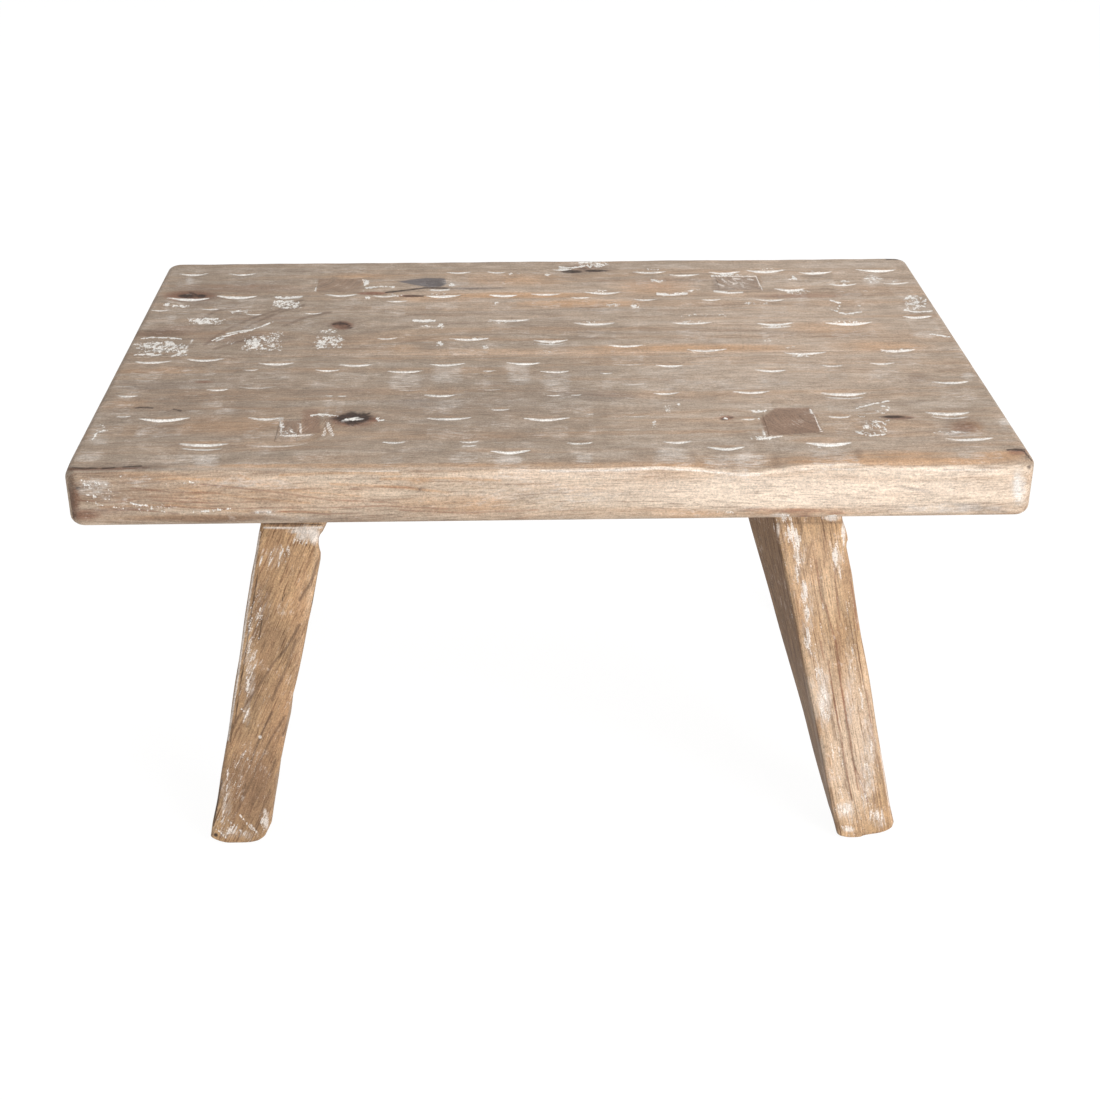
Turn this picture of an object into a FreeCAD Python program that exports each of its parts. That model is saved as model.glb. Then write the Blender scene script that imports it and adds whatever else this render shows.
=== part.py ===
import FreeCAD, Part
import os
import Sketcher

# A low bench-like stool: a thick slab seat of two planks joined edge to edge, standing on
# four splayed legs. Each leg has a shoulder under the slab and a tenon that passes right
# through it, so that the tenon's end shows on the seat's top.
# Millimetres. +X runs along the seat, +Y to its rear and +Z up. The origin is on the floor
# under the middle of the seat.

SIZES = (
    # Seat slab
    ("seat_length", 500.0),
    ("seat_thickness", 32.0),
    ("stool_height", 252.0),
    ("front_plank_width", 160.0),
    ("rear_plank_width", 175.0),
    ("corner_round", 9.0),
    ("edge_round", 5.0),
    # Dowels hidden in the seam between the planks
    ("dowel_count", 4),
    ("dowel_end_distance", 62.5),
    ("dowel_diameter", 8.0),
    ("dowel_length", 40.0),
    ("dowel_fit", 0.1),
    ("dowel_end_gap", 1.0),
    # Tenons, each set in from the seat's end and side to its centre on the top
    ("tenon_end_distance", 119.0),
    ("tenon_side_distance", 51.0),
    ("tenon_width", 30.0),
    ("tenon_depth", 29.0),
    ("tenon_fit", 0.2),
    # Wedge beside the front left tenon
    ("wedge_top_width", 11.5),
    ("wedge_foot_width", 4.0),
    ("wedge_fit", 0.1),
    # Legs
    ("shoulder_width", 36.5),
    ("shoulder_depth", 34.0),
    ("foot_width", 34.0),
    ("foot_depth", 33.0),
    ("leg_arris_round", 3.0),
    ("foot_bevel", 3.0),
    # How far each foot stands out from its tenon's end, sideways and then to front or rear
    ("front_left_run", 52.0),
    ("front_right_run", 54.5),
    ("rear_left_run", 62.0),
    ("rear_right_run", 63.0),
    ("deep_run", 12.0),
    # How far the front right leg's shoulder reaches inwards at its back corner
    ("front_right_flare", 15.0),
    # How far a cut runs on past the surface that it opens
    ("overrun", 3.0),
)

# Each leg: its name, its side (-1 left, 1 right) and its end (-1 front, 1 rear)
LEGS = (
    ("front_left", -1, -1),
    ("front_right", 1, -1),
    ("rear_left", -1, 1),
    ("rear_right", 1, 1),
)
WEDGED_LEG = "front_left"
FLARED_LEG = "front_right"

# Heights above the floor, the seat's depth, and the seam with its row of dowels
FLOOR = "0"
TOP = "sizes.stool_height"
UNDERSIDE = "(sizes.stool_height - sizes.seat_thickness)"
ABOVE_TOP = "(sizes.stool_height + sizes.overrun)"
BELOW_UNDERSIDE = "(sizes.stool_height - sizes.seat_thickness - sizes.overrun)"
SEAT_DEPTH = "(sizes.front_plank_width + sizes.rear_plank_width)"
SEAM = "((sizes.front_plank_width - sizes.rear_plank_width) / 2)"
DOWEL_HEIGHT = "(sizes.stool_height - sizes.seat_thickness / 2)"
FIRST_DOWEL = "(sizes.dowel_end_distance - sizes.seat_length / 2)"
DOWEL_ROW = "(sizes.seat_length - 2 * sizes.dowel_end_distance)"

# Half widths of the legs, the tenons and the holes that the tenons pass through
FOOT_HALVES = ("sizes.foot_width / 2", "sizes.foot_depth / 2")
SHOULDER_HALVES = ("sizes.shoulder_width / 2", "sizes.shoulder_depth / 2")
TENON_HALVES = ("sizes.tenon_width / 2", "sizes.tenon_depth / 2")
MORTISE_HALVES = (
    "(sizes.tenon_width / 2 + sizes.tenon_fit)",
    "(sizes.tenon_depth / 2 + sizes.tenon_fit)",
)

NEAR = 1e-6


def make_sheet(doc):
    """Put the driving dimensions into a spreadsheet, each with its name as alias."""
    sheet = doc.addObject("Spreadsheet::Sheet", "sizes")
    for row, (alias, value) in enumerate(SIZES, start=1):
        sheet.set(f"A{row}", alias)
        sheet.set(f"B{row}", str(value))
        sheet.setAlias(f"B{row}", alias)
    doc.recompute()


def number(doc, formula):
    """Work out a formula on the sheet's names."""
    return float(doc.sizes.evalExpression(formula))


def make_body(doc, label, place_x="0", place_y="0", place_z="0"):
    """Make a named body whose placement follows the sheet."""
    body = doc.addObject("PartDesign::Body", label)
    body.Label = label
    body.setExpression("Placement.Base.x", place_x)
    body.setExpression("Placement.Base.y", place_y)
    body.setExpression("Placement.Base.z", place_z)
    return body


def make_sketch(body, name, role, offset):
    """Attach a sketch to one of the body's origin planes, moved off it by a formula."""
    sketch = body.newObject("Sketcher::SketchObject", name)
    plane = next(item for item in body.Origin.OriginFeatures if item.Role == role)
    sketch.AttachmentSupport = [(plane, "")]
    sketch.MapMode = "FlatFace"
    sketch.setExpression("AttachmentOffset.Base.z", offset)
    return sketch


def bind_constraint(sketch, constraint, name, formula):
    """Add a constraint whose value follows a formula."""
    index = sketch.addConstraint(constraint)
    sketch.renameConstraint(index, name)
    sketch.setExpression(f"Constraints.{name}", formula)


def bind_point(sketch, item, end, name, place):
    """Hold one point of a sketch at a place, given as two formulas."""
    for axis, formula in zip(("DistanceX", "DistanceY"), place):
        value = number(sketch.Document, formula)
        constraint = Sketcher.Constraint(axis, -1, 1, item, end, value)
        bind_constraint(sketch, constraint, f"{name}_{axis}", formula)


def draw_outline(sketch, corners):
    """Draw a closed outline of straight lines through corners given as formulas."""
    doc = sketch.Document
    points = [FreeCAD.Vector(number(doc, x), number(doc, y), 0) for x, y in corners]
    for start, end in zip(points, points[1:] + points[:1]):
        sketch.addGeometry(Part.LineSegment(start, end), False)
    for line in range(len(points)):
        next_line = (line + 1) % len(points)
        sketch.addConstraint(Sketcher.Constraint("Coincident", line, 2, next_line, 1))
    for line, place in enumerate(corners):
        bind_point(sketch, line, 1, f"corner{line}", place)
    doc.recompute()


def round_corners(sketch, count, size):
    """Round the corners of a drawn outline by a size of the sheet."""
    radius = number(sketch.Document, size)
    for line in range(count):
        first_new = sketch.GeometryCount
        sketch.fillet(line, 1, radius, True, True)
        arc = next(
            item for item in range(first_new, sketch.GeometryCount)
            if isinstance(sketch.Geometry[item], Part.ArcOfCircle)
        )
        constraint = Sketcher.Constraint("Radius", arc, radius)
        bind_constraint(sketch, constraint, f"corner{line}_round", size)
    sketch.Document.recompute()


def make_section(body, name, height, corners, corner_round=None):
    """Draw a level section of a piece at a height, with sharp or rounded corners."""
    sketch = make_sketch(body, name, "XY_Plane", height)
    draw_outline(sketch, corners)
    if corner_round:
        round_corners(sketch, len(corners), corner_round)
    return sketch


def make_loft(body, kind, name, sections):
    """Join sections with straight-ruled faces, adding to the body or cutting from it."""
    loft = body.newObject(f"PartDesign::{kind}", name)
    loft.Profile = sections[0]
    loft.Sections = sections[1:]
    loft.Ruled = True
    body.Document.recompute()
    return loft


def check_cut(body, volume_before, name):
    """Stop where a cut has taken nothing away from the body."""
    if body.Shape.Volume >= volume_before:
        raise RuntimeError(f"{body.Label}: {name} cut nothing")


def axis_place(leg, side, end, height):
    """Give the place of a leg's axis at a height, from its tenon's centre on the top."""
    share = f"(({TOP} - {height}) / {TOP})"
    return f"({side} * sizes.{leg}_run * {share})", f"({end} * sizes.deep_run * {share})"


def tenon_place(side, end):
    """Give the place of a tenon's centre on the seat's top."""
    sideways = f"({side} * (sizes.seat_length / 2 - sizes.tenon_end_distance))"
    deep = f"({end} * ({SEAT_DEPTH} / 2 - sizes.tenon_side_distance))"
    return sideways, deep


def rectangle_about(center, halves):
    """Give the corners of a rectangle about a centre, anticlockwise from its lowest one."""
    (x, y), (half_width, half_depth) = center, halves
    return [
        (f"{x} - {half_width}", f"{y} - {half_depth}"),
        (f"{x} + {half_width}", f"{y} - {half_depth}"),
        (f"{x} + {half_width}", f"{y} + {half_depth}"),
        (f"{x} - {half_width}", f"{y} + {half_depth}"),
    ]


def flare_inwards(corners):
    """Carry the inner back corner of the front right leg's shoulder further inwards."""
    x, y = corners[3]
    return corners[:3] + [(f"{x} - sizes.front_right_flare", y)]


def inset(halves, size):
    """Make two half widths smaller by a size."""
    return tuple(f"({half} - {size})" for half in halves)


def wedge_outer(center_x):
    """Give the outer face of the wedge, on the left of the front left tenon."""
    return f"{center_x} - {MORTISE_HALVES[0]} + sizes.wedge_fit"


def wedged_tenon(corners, center_x, wedge_width):
    """Move a tenon's outer side inwards, to leave room for its wedge."""
    outer = f"{wedge_outer(center_x)} + {wedge_width} + sizes.wedge_fit"
    return [(outer, corners[0][1]), corners[1], corners[2], (outer, corners[3][1])]


def add_shaft(body, leg, side, end):
    """Add a leg's tapered shaft, bevelled round its foot."""
    bevel_top = "sizes.foot_bevel"
    sole = rectangle_about(
        axis_place(leg, side, end, FLOOR), inset(FOOT_HALVES, "sizes.foot_bevel"))
    ankle = rectangle_about(axis_place(leg, side, end, bevel_top), FOOT_HALVES)
    shoulder = rectangle_about(axis_place(leg, side, end, UNDERSIDE), SHOULDER_HALVES)
    if leg == FLARED_LEG:
        shoulder = flare_inwards(shoulder)
    arris = "sizes.leg_arris_round"
    sections = [
        make_section(body, f"{leg}_sole", FLOOR, sole, arris),
        make_section(body, f"{leg}_ankle", bevel_top, ankle, arris),
        make_section(body, f"{leg}_shoulder", UNDERSIDE, shoulder, arris),
    ]
    make_loft(body, "AdditiveLoft", f"{leg}_shaft", sections)


def add_tenon(body, leg, side, end):
    """Add the tenon on a leg's shoulder, which carries on along the leg's axis."""
    sections = []
    for part_name, height, wedge_width in (
        ("root", UNDERSIDE, "sizes.wedge_foot_width"),
        ("tip", TOP, "sizes.wedge_top_width"),
    ):
        center = axis_place(leg, side, end, height)
        corners = rectangle_about(center, TENON_HALVES)
        if leg == WEDGED_LEG:
            corners = wedged_tenon(corners, center[0], wedge_width)
        sections.append(make_section(body, f"{leg}_tenon_{part_name}", height, corners))
    make_loft(body, "AdditiveLoft", f"{leg}_tenon", sections)


def make_leg(doc, leg, side, end):
    """Build one leg with its shaft and its through tenon."""
    body = make_body(doc, f"{leg}_leg", *tenon_place(side, end))
    add_shaft(body, leg, side, end)
    add_tenon(body, leg, side, end)
    return body


def make_wedge(doc):
    """Build the wedge that fills the outer side of the front left tenon's hole."""
    leg, side, end = next(row for row in LEGS if row[0] == WEDGED_LEG)
    body = make_body(doc, f"{leg}_tenon_wedge", *tenon_place(side, end))
    half_depth = TENON_HALVES[1]
    sections = []
    for part_name, height, width in (
        ("tip", UNDERSIDE, "sizes.wedge_foot_width"),
        ("head", TOP, "sizes.wedge_top_width"),
    ):
        center_x, center_y = axis_place(leg, side, end, height)
        half_width = f"{width} / 2"
        middle = (f"{wedge_outer(center_x)} + {half_width}", center_y)
        corners = rectangle_about(middle, (half_width, half_depth))
        sections.append(make_section(body, f"wedge_{part_name}", height, corners))
    make_loft(body, "AdditiveLoft", "wedge_body", sections)
    return body


def add_board(body, name, outer_y):
    """Add a plank's board, from the seam out to its outer side."""
    half_length = "sizes.seat_length / 2"
    corners = [
        (f"-{half_length}", "0"),
        (half_length, "0"),
        (half_length, outer_y),
        (f"-{half_length}", outer_y),
    ]
    board = body.newObject("PartDesign::Pad", f"{name}_board")
    board.Profile = make_section(body, f"{name}_outline", FLOOR, corners)
    board.setExpression("Length", "sizes.seat_thickness")
    body.Document.recompute()
    return board


def round_edges(body, name, base, test, radius):
    """Round the edges of a feature whose middle points pass a test."""
    names = []
    for index, edge in enumerate(base.Shape.Edges, start=1):
        if test(edge.valueAt((edge.FirstParameter + edge.LastParameter) / 2)):
            names.append(f"Edge{index}")
    rounding = body.newObject("PartDesign::Fillet", name)
    rounding.Base = (base, names)
    rounding.setExpression("Radius", radius)
    body.Document.recompute()
    return rounding


def round_board(body, name, board, outer_y):
    """Round a board's two outer corners, then its top and underside all along the outside."""
    outer = number(body.Document, outer_y)
    half_length = number(body.Document, "sizes.seat_length / 2")
    thickness = number(body.Document, "sizes.seat_thickness")

    def at_corner(middle):
        return abs(middle.y - outer) < NEAR and abs(abs(middle.x) - half_length) < NEAR

    def on_outer_rim(middle):
        on_face = abs(middle.z) < NEAR or abs(middle.z - thickness) < NEAR
        return on_face and abs(middle.y) > NEAR

    corners = round_edges(body, f"{name}_corners", board, at_corner, "sizes.corner_round")
    round_edges(body, f"{name}_rim", corners, on_outer_rim, "sizes.edge_round")


def cut_mortise(body, leg, side, end):
    """Cut the sloping hole that a leg's tenon passes through."""
    tenon_x, tenon_y = tenon_place(side, end)
    sections = []
    for part_name, height in (("below", BELOW_UNDERSIDE), ("above", ABOVE_TOP)):
        axis_x, axis_y = axis_place(leg, side, end, height)
        center = (f"{tenon_x} + {axis_x}", f"{tenon_y} + {axis_y} - {SEAM}")
        corners = rectangle_about(center, MORTISE_HALVES)
        lift = f"{height} - {UNDERSIDE}"
        sections.append(make_section(body, f"{leg}_mortise_{part_name}", lift, corners))
    volume_before = body.Shape.Volume
    make_loft(body, "SubtractiveLoft", f"{leg}_mortise", sections)
    check_cut(body, volume_before, f"{leg}_mortise")


def draw_dowel_end(body, name, radius, height):
    """Draw the end of the first dowel, or of its hole, on the plane of the seam."""
    doc = body.Document
    sketch = make_sketch(body, name, "XZ_Plane", "0")
    center = FreeCAD.Vector(number(doc, FIRST_DOWEL), number(doc, height), 0)
    size = number(doc, radius)
    sketch.addGeometry(Part.Circle(center, FreeCAD.Vector(0, 0, 1), size), False)
    bind_point(sketch, 0, 3, "center", (FIRST_DOWEL, height))
    bind_constraint(sketch, Sketcher.Constraint("Radius", 0, size), "radius", radius)
    doc.recompute()
    return sketch


def repeat_along_seam(body, name, feature):
    """Repeat a dowel or its hole along the seam."""
    pattern = body.newObject("PartDesign::LinearPattern", name)
    pattern.Originals = [feature]
    pattern.Direction = (feature.Profile[0], ["H_Axis"])
    pattern.setExpression("Length", DOWEL_ROW)
    pattern.setExpression("Occurrences", "sizes.dowel_count")
    body.Tip = pattern
    body.Document.recompute()


def drill_dowel_holes(body, name, end):
    """Drill the row of blind holes for the dowels into a plank's seam side."""
    radius = "sizes.dowel_diameter / 2 + sizes.dowel_fit"
    volume_before = body.Shape.Volume
    hole = body.newObject("PartDesign::Pocket", f"{name}_dowel_hole")
    hole.Profile = draw_dowel_end(
        body, f"{name}_dowel_hole_outline", radius, "sizes.seat_thickness / 2")
    hole.Reversed = end < 0
    hole.setExpression("Length", "sizes.dowel_length / 2 + sizes.dowel_end_gap")
    body.Document.recompute()
    check_cut(body, volume_before, "the first dowel hole")
    volume_before = body.Shape.Volume
    repeat_along_seam(body, f"{name}_dowel_holes", hole)
    check_cut(body, volume_before, "the row of dowel holes")


def make_plank(doc, name, end):
    """Build one plank with its rounded outside, its mortises and its dowel holes."""
    body = make_body(doc, f"seat_{name}_plank", "0", SEAM, UNDERSIDE)
    outer_y = f"{end} * sizes.{name}_plank_width"
    board = add_board(body, name, outer_y)
    round_board(body, name, board, outer_y)
    for leg, side, leg_end in LEGS:
        if leg_end == end:
            cut_mortise(body, leg, side, end)
    drill_dowel_holes(body, name, end)
    return body


def make_dowels(doc):
    """Build the row of dowels that joins the planks, half of each in either plank."""
    body = make_body(doc, "plank_dowels", "0", SEAM, "0")
    body.AllowCompound = True
    dowel = body.newObject("PartDesign::Pad", "dowel")
    dowel.Profile = draw_dowel_end(
        body, "dowel_outline", "sizes.dowel_diameter / 2", DOWEL_HEIGHT)
    dowel.Midplane = True
    dowel.setExpression("Length", "sizes.dowel_length")
    doc.recompute()
    repeat_along_seam(body, "dowel_row", dowel)
    return body


def check_document(doc, bodies):
    """Stop if any object has failed or any sub-part's shape is missing or not valid."""
    for item in doc.Objects:
        if "Invalid" in item.State or "Error" in item.State:
            raise RuntimeError(f"{item.Label} failed: {item.State}")
    for body in bodies:
        if body.Shape.isNull() or not body.Shape.isValid() or not body.Shape.Solids:
            raise RuntimeError(f"{body.Label} has no valid shape")


def main():
    """Build the stool, check it and write one file for each sub-part."""
    doc = FreeCAD.newDocument("stool")
    make_sheet(doc)
    bodies = [make_plank(doc, "front", -1), make_plank(doc, "rear", 1)]
    bodies += [make_leg(doc, leg, side, end) for leg, side, end in LEGS]
    bodies += [make_wedge(doc), make_dowels(doc)]
    doc.recompute()
    check_document(doc, bodies)
    os.makedirs("parts", exist_ok=True)
    for body in bodies:
        body.Shape.exportStep(f"parts/{body.Label}.step")
        print(f"{body.Label}: {len(body.Shape.Solids)} solid, {body.Shape.Volume:.0f} mm3")


main()
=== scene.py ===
"""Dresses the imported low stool: carved planks, splayed legs, a wedge, whitewashed wood, and a plain studio.

Lengths are in millimetres in the row frame (floor at z = 0, seat front at negative y) until a mesh is made.
Marks on the wood are listed by their pixel in the 1100 x 1100 photograph and carried onto the surfaces by
the camera that was fitted to it.
"""

from __future__ import annotations

import logging
import math
from dataclasses import dataclass, field
from enum import Enum
from types import SimpleNamespace

import bpy
import numpy as np
from mathutils import Matrix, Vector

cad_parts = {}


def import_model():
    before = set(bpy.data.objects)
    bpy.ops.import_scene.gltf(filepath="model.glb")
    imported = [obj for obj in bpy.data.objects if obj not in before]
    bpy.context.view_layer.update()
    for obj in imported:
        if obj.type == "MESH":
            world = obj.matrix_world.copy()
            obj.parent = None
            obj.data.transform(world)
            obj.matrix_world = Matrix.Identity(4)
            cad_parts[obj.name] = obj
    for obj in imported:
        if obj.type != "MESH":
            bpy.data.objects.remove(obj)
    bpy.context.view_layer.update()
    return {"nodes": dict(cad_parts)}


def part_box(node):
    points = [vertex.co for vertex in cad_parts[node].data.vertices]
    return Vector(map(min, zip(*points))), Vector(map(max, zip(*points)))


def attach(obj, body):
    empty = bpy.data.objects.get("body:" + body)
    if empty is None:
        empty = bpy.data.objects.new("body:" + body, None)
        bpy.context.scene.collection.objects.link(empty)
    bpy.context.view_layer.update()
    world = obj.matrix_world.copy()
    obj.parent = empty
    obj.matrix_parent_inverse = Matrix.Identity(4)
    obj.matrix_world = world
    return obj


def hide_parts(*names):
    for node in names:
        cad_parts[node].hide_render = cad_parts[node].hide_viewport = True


log = logging.getLogger("stool")
MM = 0.001
SEED = 7
FAR = 1e9
WHITE = (1.0, 1.0, 1.0, 1.0)
ATTRIBUTES = ("paint", "stain", "zone", "tone")
Colour = tuple[int, int, int]
Size = tuple[float, float, float]
Pair = tuple[float, float]
Curve = tuple[Pair, ...]
Fields = dict[str, np.ndarray]
Socket = bpy.types.NodeSocket


def read_curve(curve: Curve, places: float | np.ndarray) -> np.ndarray:
    """Reads a curve, given by its points, at places along it."""
    return np.interp(places, *np.array(curve, float).T)


@dataclass(frozen=True)
class PhotoCamera:
    """Pinhole camera fitted to the outline of the seat in the photograph, with the image centre as its axis."""

    focal: float = 1750.0
    frame: float = 1100.0
    pitch: float = 0.48193
    yaw: float = -0.02727
    roll: float = 0.00062
    eye: Size = (-23.670, -978.309, 628.597)
    sensor: float = 36.0

    def axes(self) -> np.ndarray:
        """Gives the camera's axes in the row frame.

        Returns:
            Rows: to the right, down and forward in the image.
        """
        cos_yaw, sin_yaw = math.cos(self.yaw), math.sin(self.yaw)
        cos_roll, sin_roll = math.cos(self.roll), math.sin(self.roll)
        right = np.array([cos_yaw, sin_yaw, 0.0])
        level = np.array([-sin_yaw, cos_yaw, 0.0])
        forward = level * math.cos(self.pitch) - np.array([0.0, 0.0, math.sin(self.pitch)])
        down = np.cross(forward, right)
        turn = np.array([[cos_roll, -sin_roll, 0.0], [sin_roll, cos_roll, 0.0], [0.0, 0.0, 1.0]])
        return turn @ np.stack([right, down, forward])

    def pixels(self, points: np.ndarray) -> np.ndarray:
        """Projects points in millimetres into the photograph, as rows of u, v."""
        seen = (points - np.array(self.eye)) @ self.axes().T
        return self.frame / 2 + self.focal * seen[..., :2] / seen[..., 2:]

    def onto_level(self, pixels: np.ndarray, height: float) -> np.ndarray:
        """Carries pixels along their rays onto a level plane.

        Args:
            pixels: Rows of u, v.
            height: The plane's height above the floor in millimetres.

        Returns:
            Rows of x, y, z.
        """
        offsets = (np.asarray(pixels, float) - self.frame / 2) / self.focal
        rays = np.concatenate([offsets, np.ones(offsets.shape[:-1] + (1,))], axis=-1) @ self.axes()
        reach = (height - self.eye[2]) / rays[..., 2:]
        return np.array(self.eye) + reach * rays

    def make(self) -> None:
        """Makes the scene's camera."""
        data = bpy.data.cameras.new("photo_camera")
        data.sensor_width = self.sensor
        data.lens = self.sensor * self.focal / self.frame
        camera = bpy.data.objects.new("photo_camera", data)
        bpy.context.scene.collection.objects.link(camera)
        right, down, forward = self.axes()
        matrix = np.eye(4)
        matrix[:3, 0], matrix[:3, 1], matrix[:3, 2] = right, -down, -forward
        matrix[:3, 3] = np.array(self.eye) * MM
        camera.matrix_world = Matrix(matrix)
        bpy.context.scene.camera = camera


CAMERA = PhotoCamera()


class Pigment(Enum):
    """What a mark adds to the wood: the attribute that holds it and the place in that attribute."""

    WHITE = ("paint", 0)
    HAZE = ("paint", 1)
    SPECK = ("paint", 2)
    WARM = ("stain", 0)
    RED = ("stain", 1)
    DARK = ("stain", 2)
    COOL = ("zone", 0)
    TOP = ("zone", 1)
    END = ("zone", 2)
    # PALE also holds painted highlights along rounded edges, and SHADE holds painted shade on leg sides, under
    # the slab's edges and behind the cuts' walls; both also hold real tones of the wood.
    PALE = ("tone", 0)
    SHADE = ("tone", 1)
    GLOW = ("tone", 2)


class Grade(Enum):
    """How bold a gouge cut is: its depth in millimetres, and the share of filler along its wall."""

    FAINT = (0.35, 0.46)
    PLAIN = (0.8, 0.86)
    BOLD = (1.15, 1.0)
    DOUBLE = (0.9, 0.9)
    TORN = (0.8, 0.4)


@dataclass(frozen=True)
class Blot:
    """Soft spots of one pigment: ellipses, or nearly rectangles where the squareness is high.

    A spot is its middle u, v, its two half sizes, all in pixels, and its amount.
    """

    pigment: Pigment
    spots: tuple[tuple[float, float, float, float, float], ...]
    squareness: float = 2.0
    cut_off: float = 2.2

    def spread(self, pixels: np.ndarray) -> np.ndarray:
        """Measures how strong the pigment is at each place.

        With a and b the offsets in half sizes and n the squareness, the distance is (|a|^n + |b|^n)^(1/n), and
        the strength of a spot is its amount times exp(-distance^(n + 1)), up to the cut-off.

        Args:
            pixels: Rows of u, v.

        Returns:
            One strength for each row, the highest of the spots.
        """
        total = np.zeros(len(pixels))
        power = self.squareness
        for u, v, half_u, half_v, amount in self.spots:
            near = (np.abs(pixels - (u, v)) < self.cut_off * np.array([half_u, half_v])).all(axis=1)
            offsets = np.abs(pixels[near] - (u, v)) / (half_u, half_v)
            reach = (offsets**power).sum(axis=1) ** ((power + 1) / power)
            total[near] = np.maximum(total[near], amount * np.exp(-reach))
        return total


@dataclass(frozen=True)
class Stroke:
    """A line of one pigment through points, in pixels."""

    pigment: Pigment
    width: float
    amount: float
    lines: tuple[Curve, ...]

    def spread(self, pixels: np.ndarray) -> np.ndarray:
        """Measures how strong the pigment is at each place.

        The strength falls from the amount on the line to zero about a width away, as a bell curve.

        Args:
            pixels: Rows of u, v.

        Returns:
            One strength for each row.
        """
        nearest = np.full(len(pixels), FAR)
        for line in self.lines:
            for start, end in zip(np.array(line[:-1]), np.array(line[1:])):
                run = end - start
                share = np.clip((pixels - start) @ run / (run @ run), 0.0, 1.0)
                gap = np.linalg.norm(pixels - start - share[:, None] * run, axis=1)
                nearest = np.minimum(nearest, gap)
        return self.amount * np.exp(-((nearest / self.width) ** 2))


@dataclass(frozen=True)
class Patch:
    """Convex patches of one pigment, by their corners in pixels, clockwise as seen in the photograph."""

    pigment: Pigment
    amount: float
    soft: float
    outlines: tuple[Curve, ...]

    def spread(self, pixels: np.ndarray) -> np.ndarray:
        """Measures how strong the pigment is at each place.

        The smallest distance inside the sides, divided by the softness and raised by a half, is cut to 0 to 1.

        Args:
            pixels: Rows of u, v.

        Returns:
            One strength for each row.
        """
        total = np.zeros(len(pixels))
        for outline in self.outlines:
            corners = np.array(outline)
            inside = np.full(len(pixels), FAR)
            for start, end in zip(corners, np.roll(corners, -1, axis=0)):
                run = (end - start) / np.linalg.norm(end - start)
                inside = np.minimum(inside, (pixels - start) @ np.array([-run[1], run[0]]))
            total = np.maximum(total, np.clip(inside / self.soft + 0.5, 0, 1))
        return self.amount * total


Mark = Blot | Stroke | Patch


def spread_marks(marks: tuple[Mark, ...], pixels: np.ndarray) -> dict[Pigment, np.ndarray]:
    """Adds up the marks of a surface.

    Args:
        marks: The surface's blots, strokes and patches.
        pixels: Rows of u, v.

    Returns:
        The strength of each pigment that the marks hold, for each row.
    """
    fields: dict[Pigment, np.ndarray] = {}
    for mark in marks:
        strength = mark.spread(pixels)
        known = fields.get(mark.pigment)
        fields[mark.pigment] = strength if known is None else np.maximum(known, strength)
    return fields


# Gouge cuts by grade: first and last pixel across, and the pixel row of the wall.
GOUGES: dict[Grade, tuple[Size, ...]] = {
    Grade.FAINT: (
        (175, 192, 314), (531, 542, 273), (421, 434, 343), (467, 481, 374), (610, 644, 365), (953, 965, 358),
        (135, 155, 381), (116, 134, 387), (189, 210, 380), (238, 276, 388), (398, 421, 390.5),
        (477, 501, 390.5), (507, 527, 380.5), (543, 570, 391), (620, 646, 385), (620, 651, 417),
        (858, 880, 414), (243, 309, 446), (493, 504, 443),
    ),
    Grade.PLAIN: (
        (179, 208, 275), (229, 257, 275), (151, 168, 311), (201, 220, 310), (229, 246, 312), (246, 262, 315),
        (304, 322, 314), (325, 358, 296), (372, 398, 296.5), (386, 408, 302), (446, 471, 273.5),
        (487, 506, 273), (530, 561, 295), (552, 573, 270), (570, 590, 298.5), (489, 531, 321),
        (574, 616, 324), (378, 397, 339), (448, 490, 340), (632, 666, 273), (669, 700, 275.5),
        (708, 741, 273), (829, 857, 285), (884, 909, 284), (583, 621, 293.5), (633, 657, 300),
        (701, 721, 300.6), (756, 785, 300.6), (671, 713, 324), (608, 643, 346.5), (686, 728, 350.5),
        (783, 827, 354), (880, 916, 350.5), (134, 171, 363), (186, 223, 360.5), (258, 295, 364),
        (243, 259, 370.7), (315, 340, 371), (340, 372, 366), (387, 423, 372), (430, 465, 365),
        (482, 495, 371.5), (506, 541, 364), (540, 570, 372.5), (600, 612, 374), (655, 684, 366),
        (755, 787, 371), (822, 844, 366), (870, 895, 364), (932, 970, 383), (207, 229, 390.5),
        (117, 137, 397), (326, 334, 396.5), (338, 346, 396.5), (423, 456, 396), (548, 560, 396),
        (570, 582, 396), (653, 679, 393.5), (732, 770, 393), (491, 510, 410.6), (585, 594, 414),
        (117, 131, 417), (248, 283, 419), (426, 472, 419.5), (523, 570, 419), (742, 756, 419.4),
        (827, 851, 417.5), (381, 405, 443), (568, 593, 444), (663, 692, 442.5), (946, 995, 439.5),
    ),
    Grade.BOLD: (
        (167, 210, 299.5), (216, 258, 297), (425, 461, 296.5), (488, 518, 296), (745, 786, 271.5),
        (799, 832, 273.5), (856, 896, 271), (774, 805, 290), (824, 873, 324), (902, 933, 317.5),
        (138, 190, 420), (491, 531, 452), (708, 746, 448), (805, 853, 444.5),
    ),
    Grade.DOUBLE: (
        (533, 568, 341), (756, 794, 324), (820, 868, 394), (925, 971, 414), (178, 228, 445), (460, 479, 442),
    ),
    Grade.TORN: (
        (273, 304, 297.5), (411, 437, 321), (654, 689, 294),
    ),
}

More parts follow.
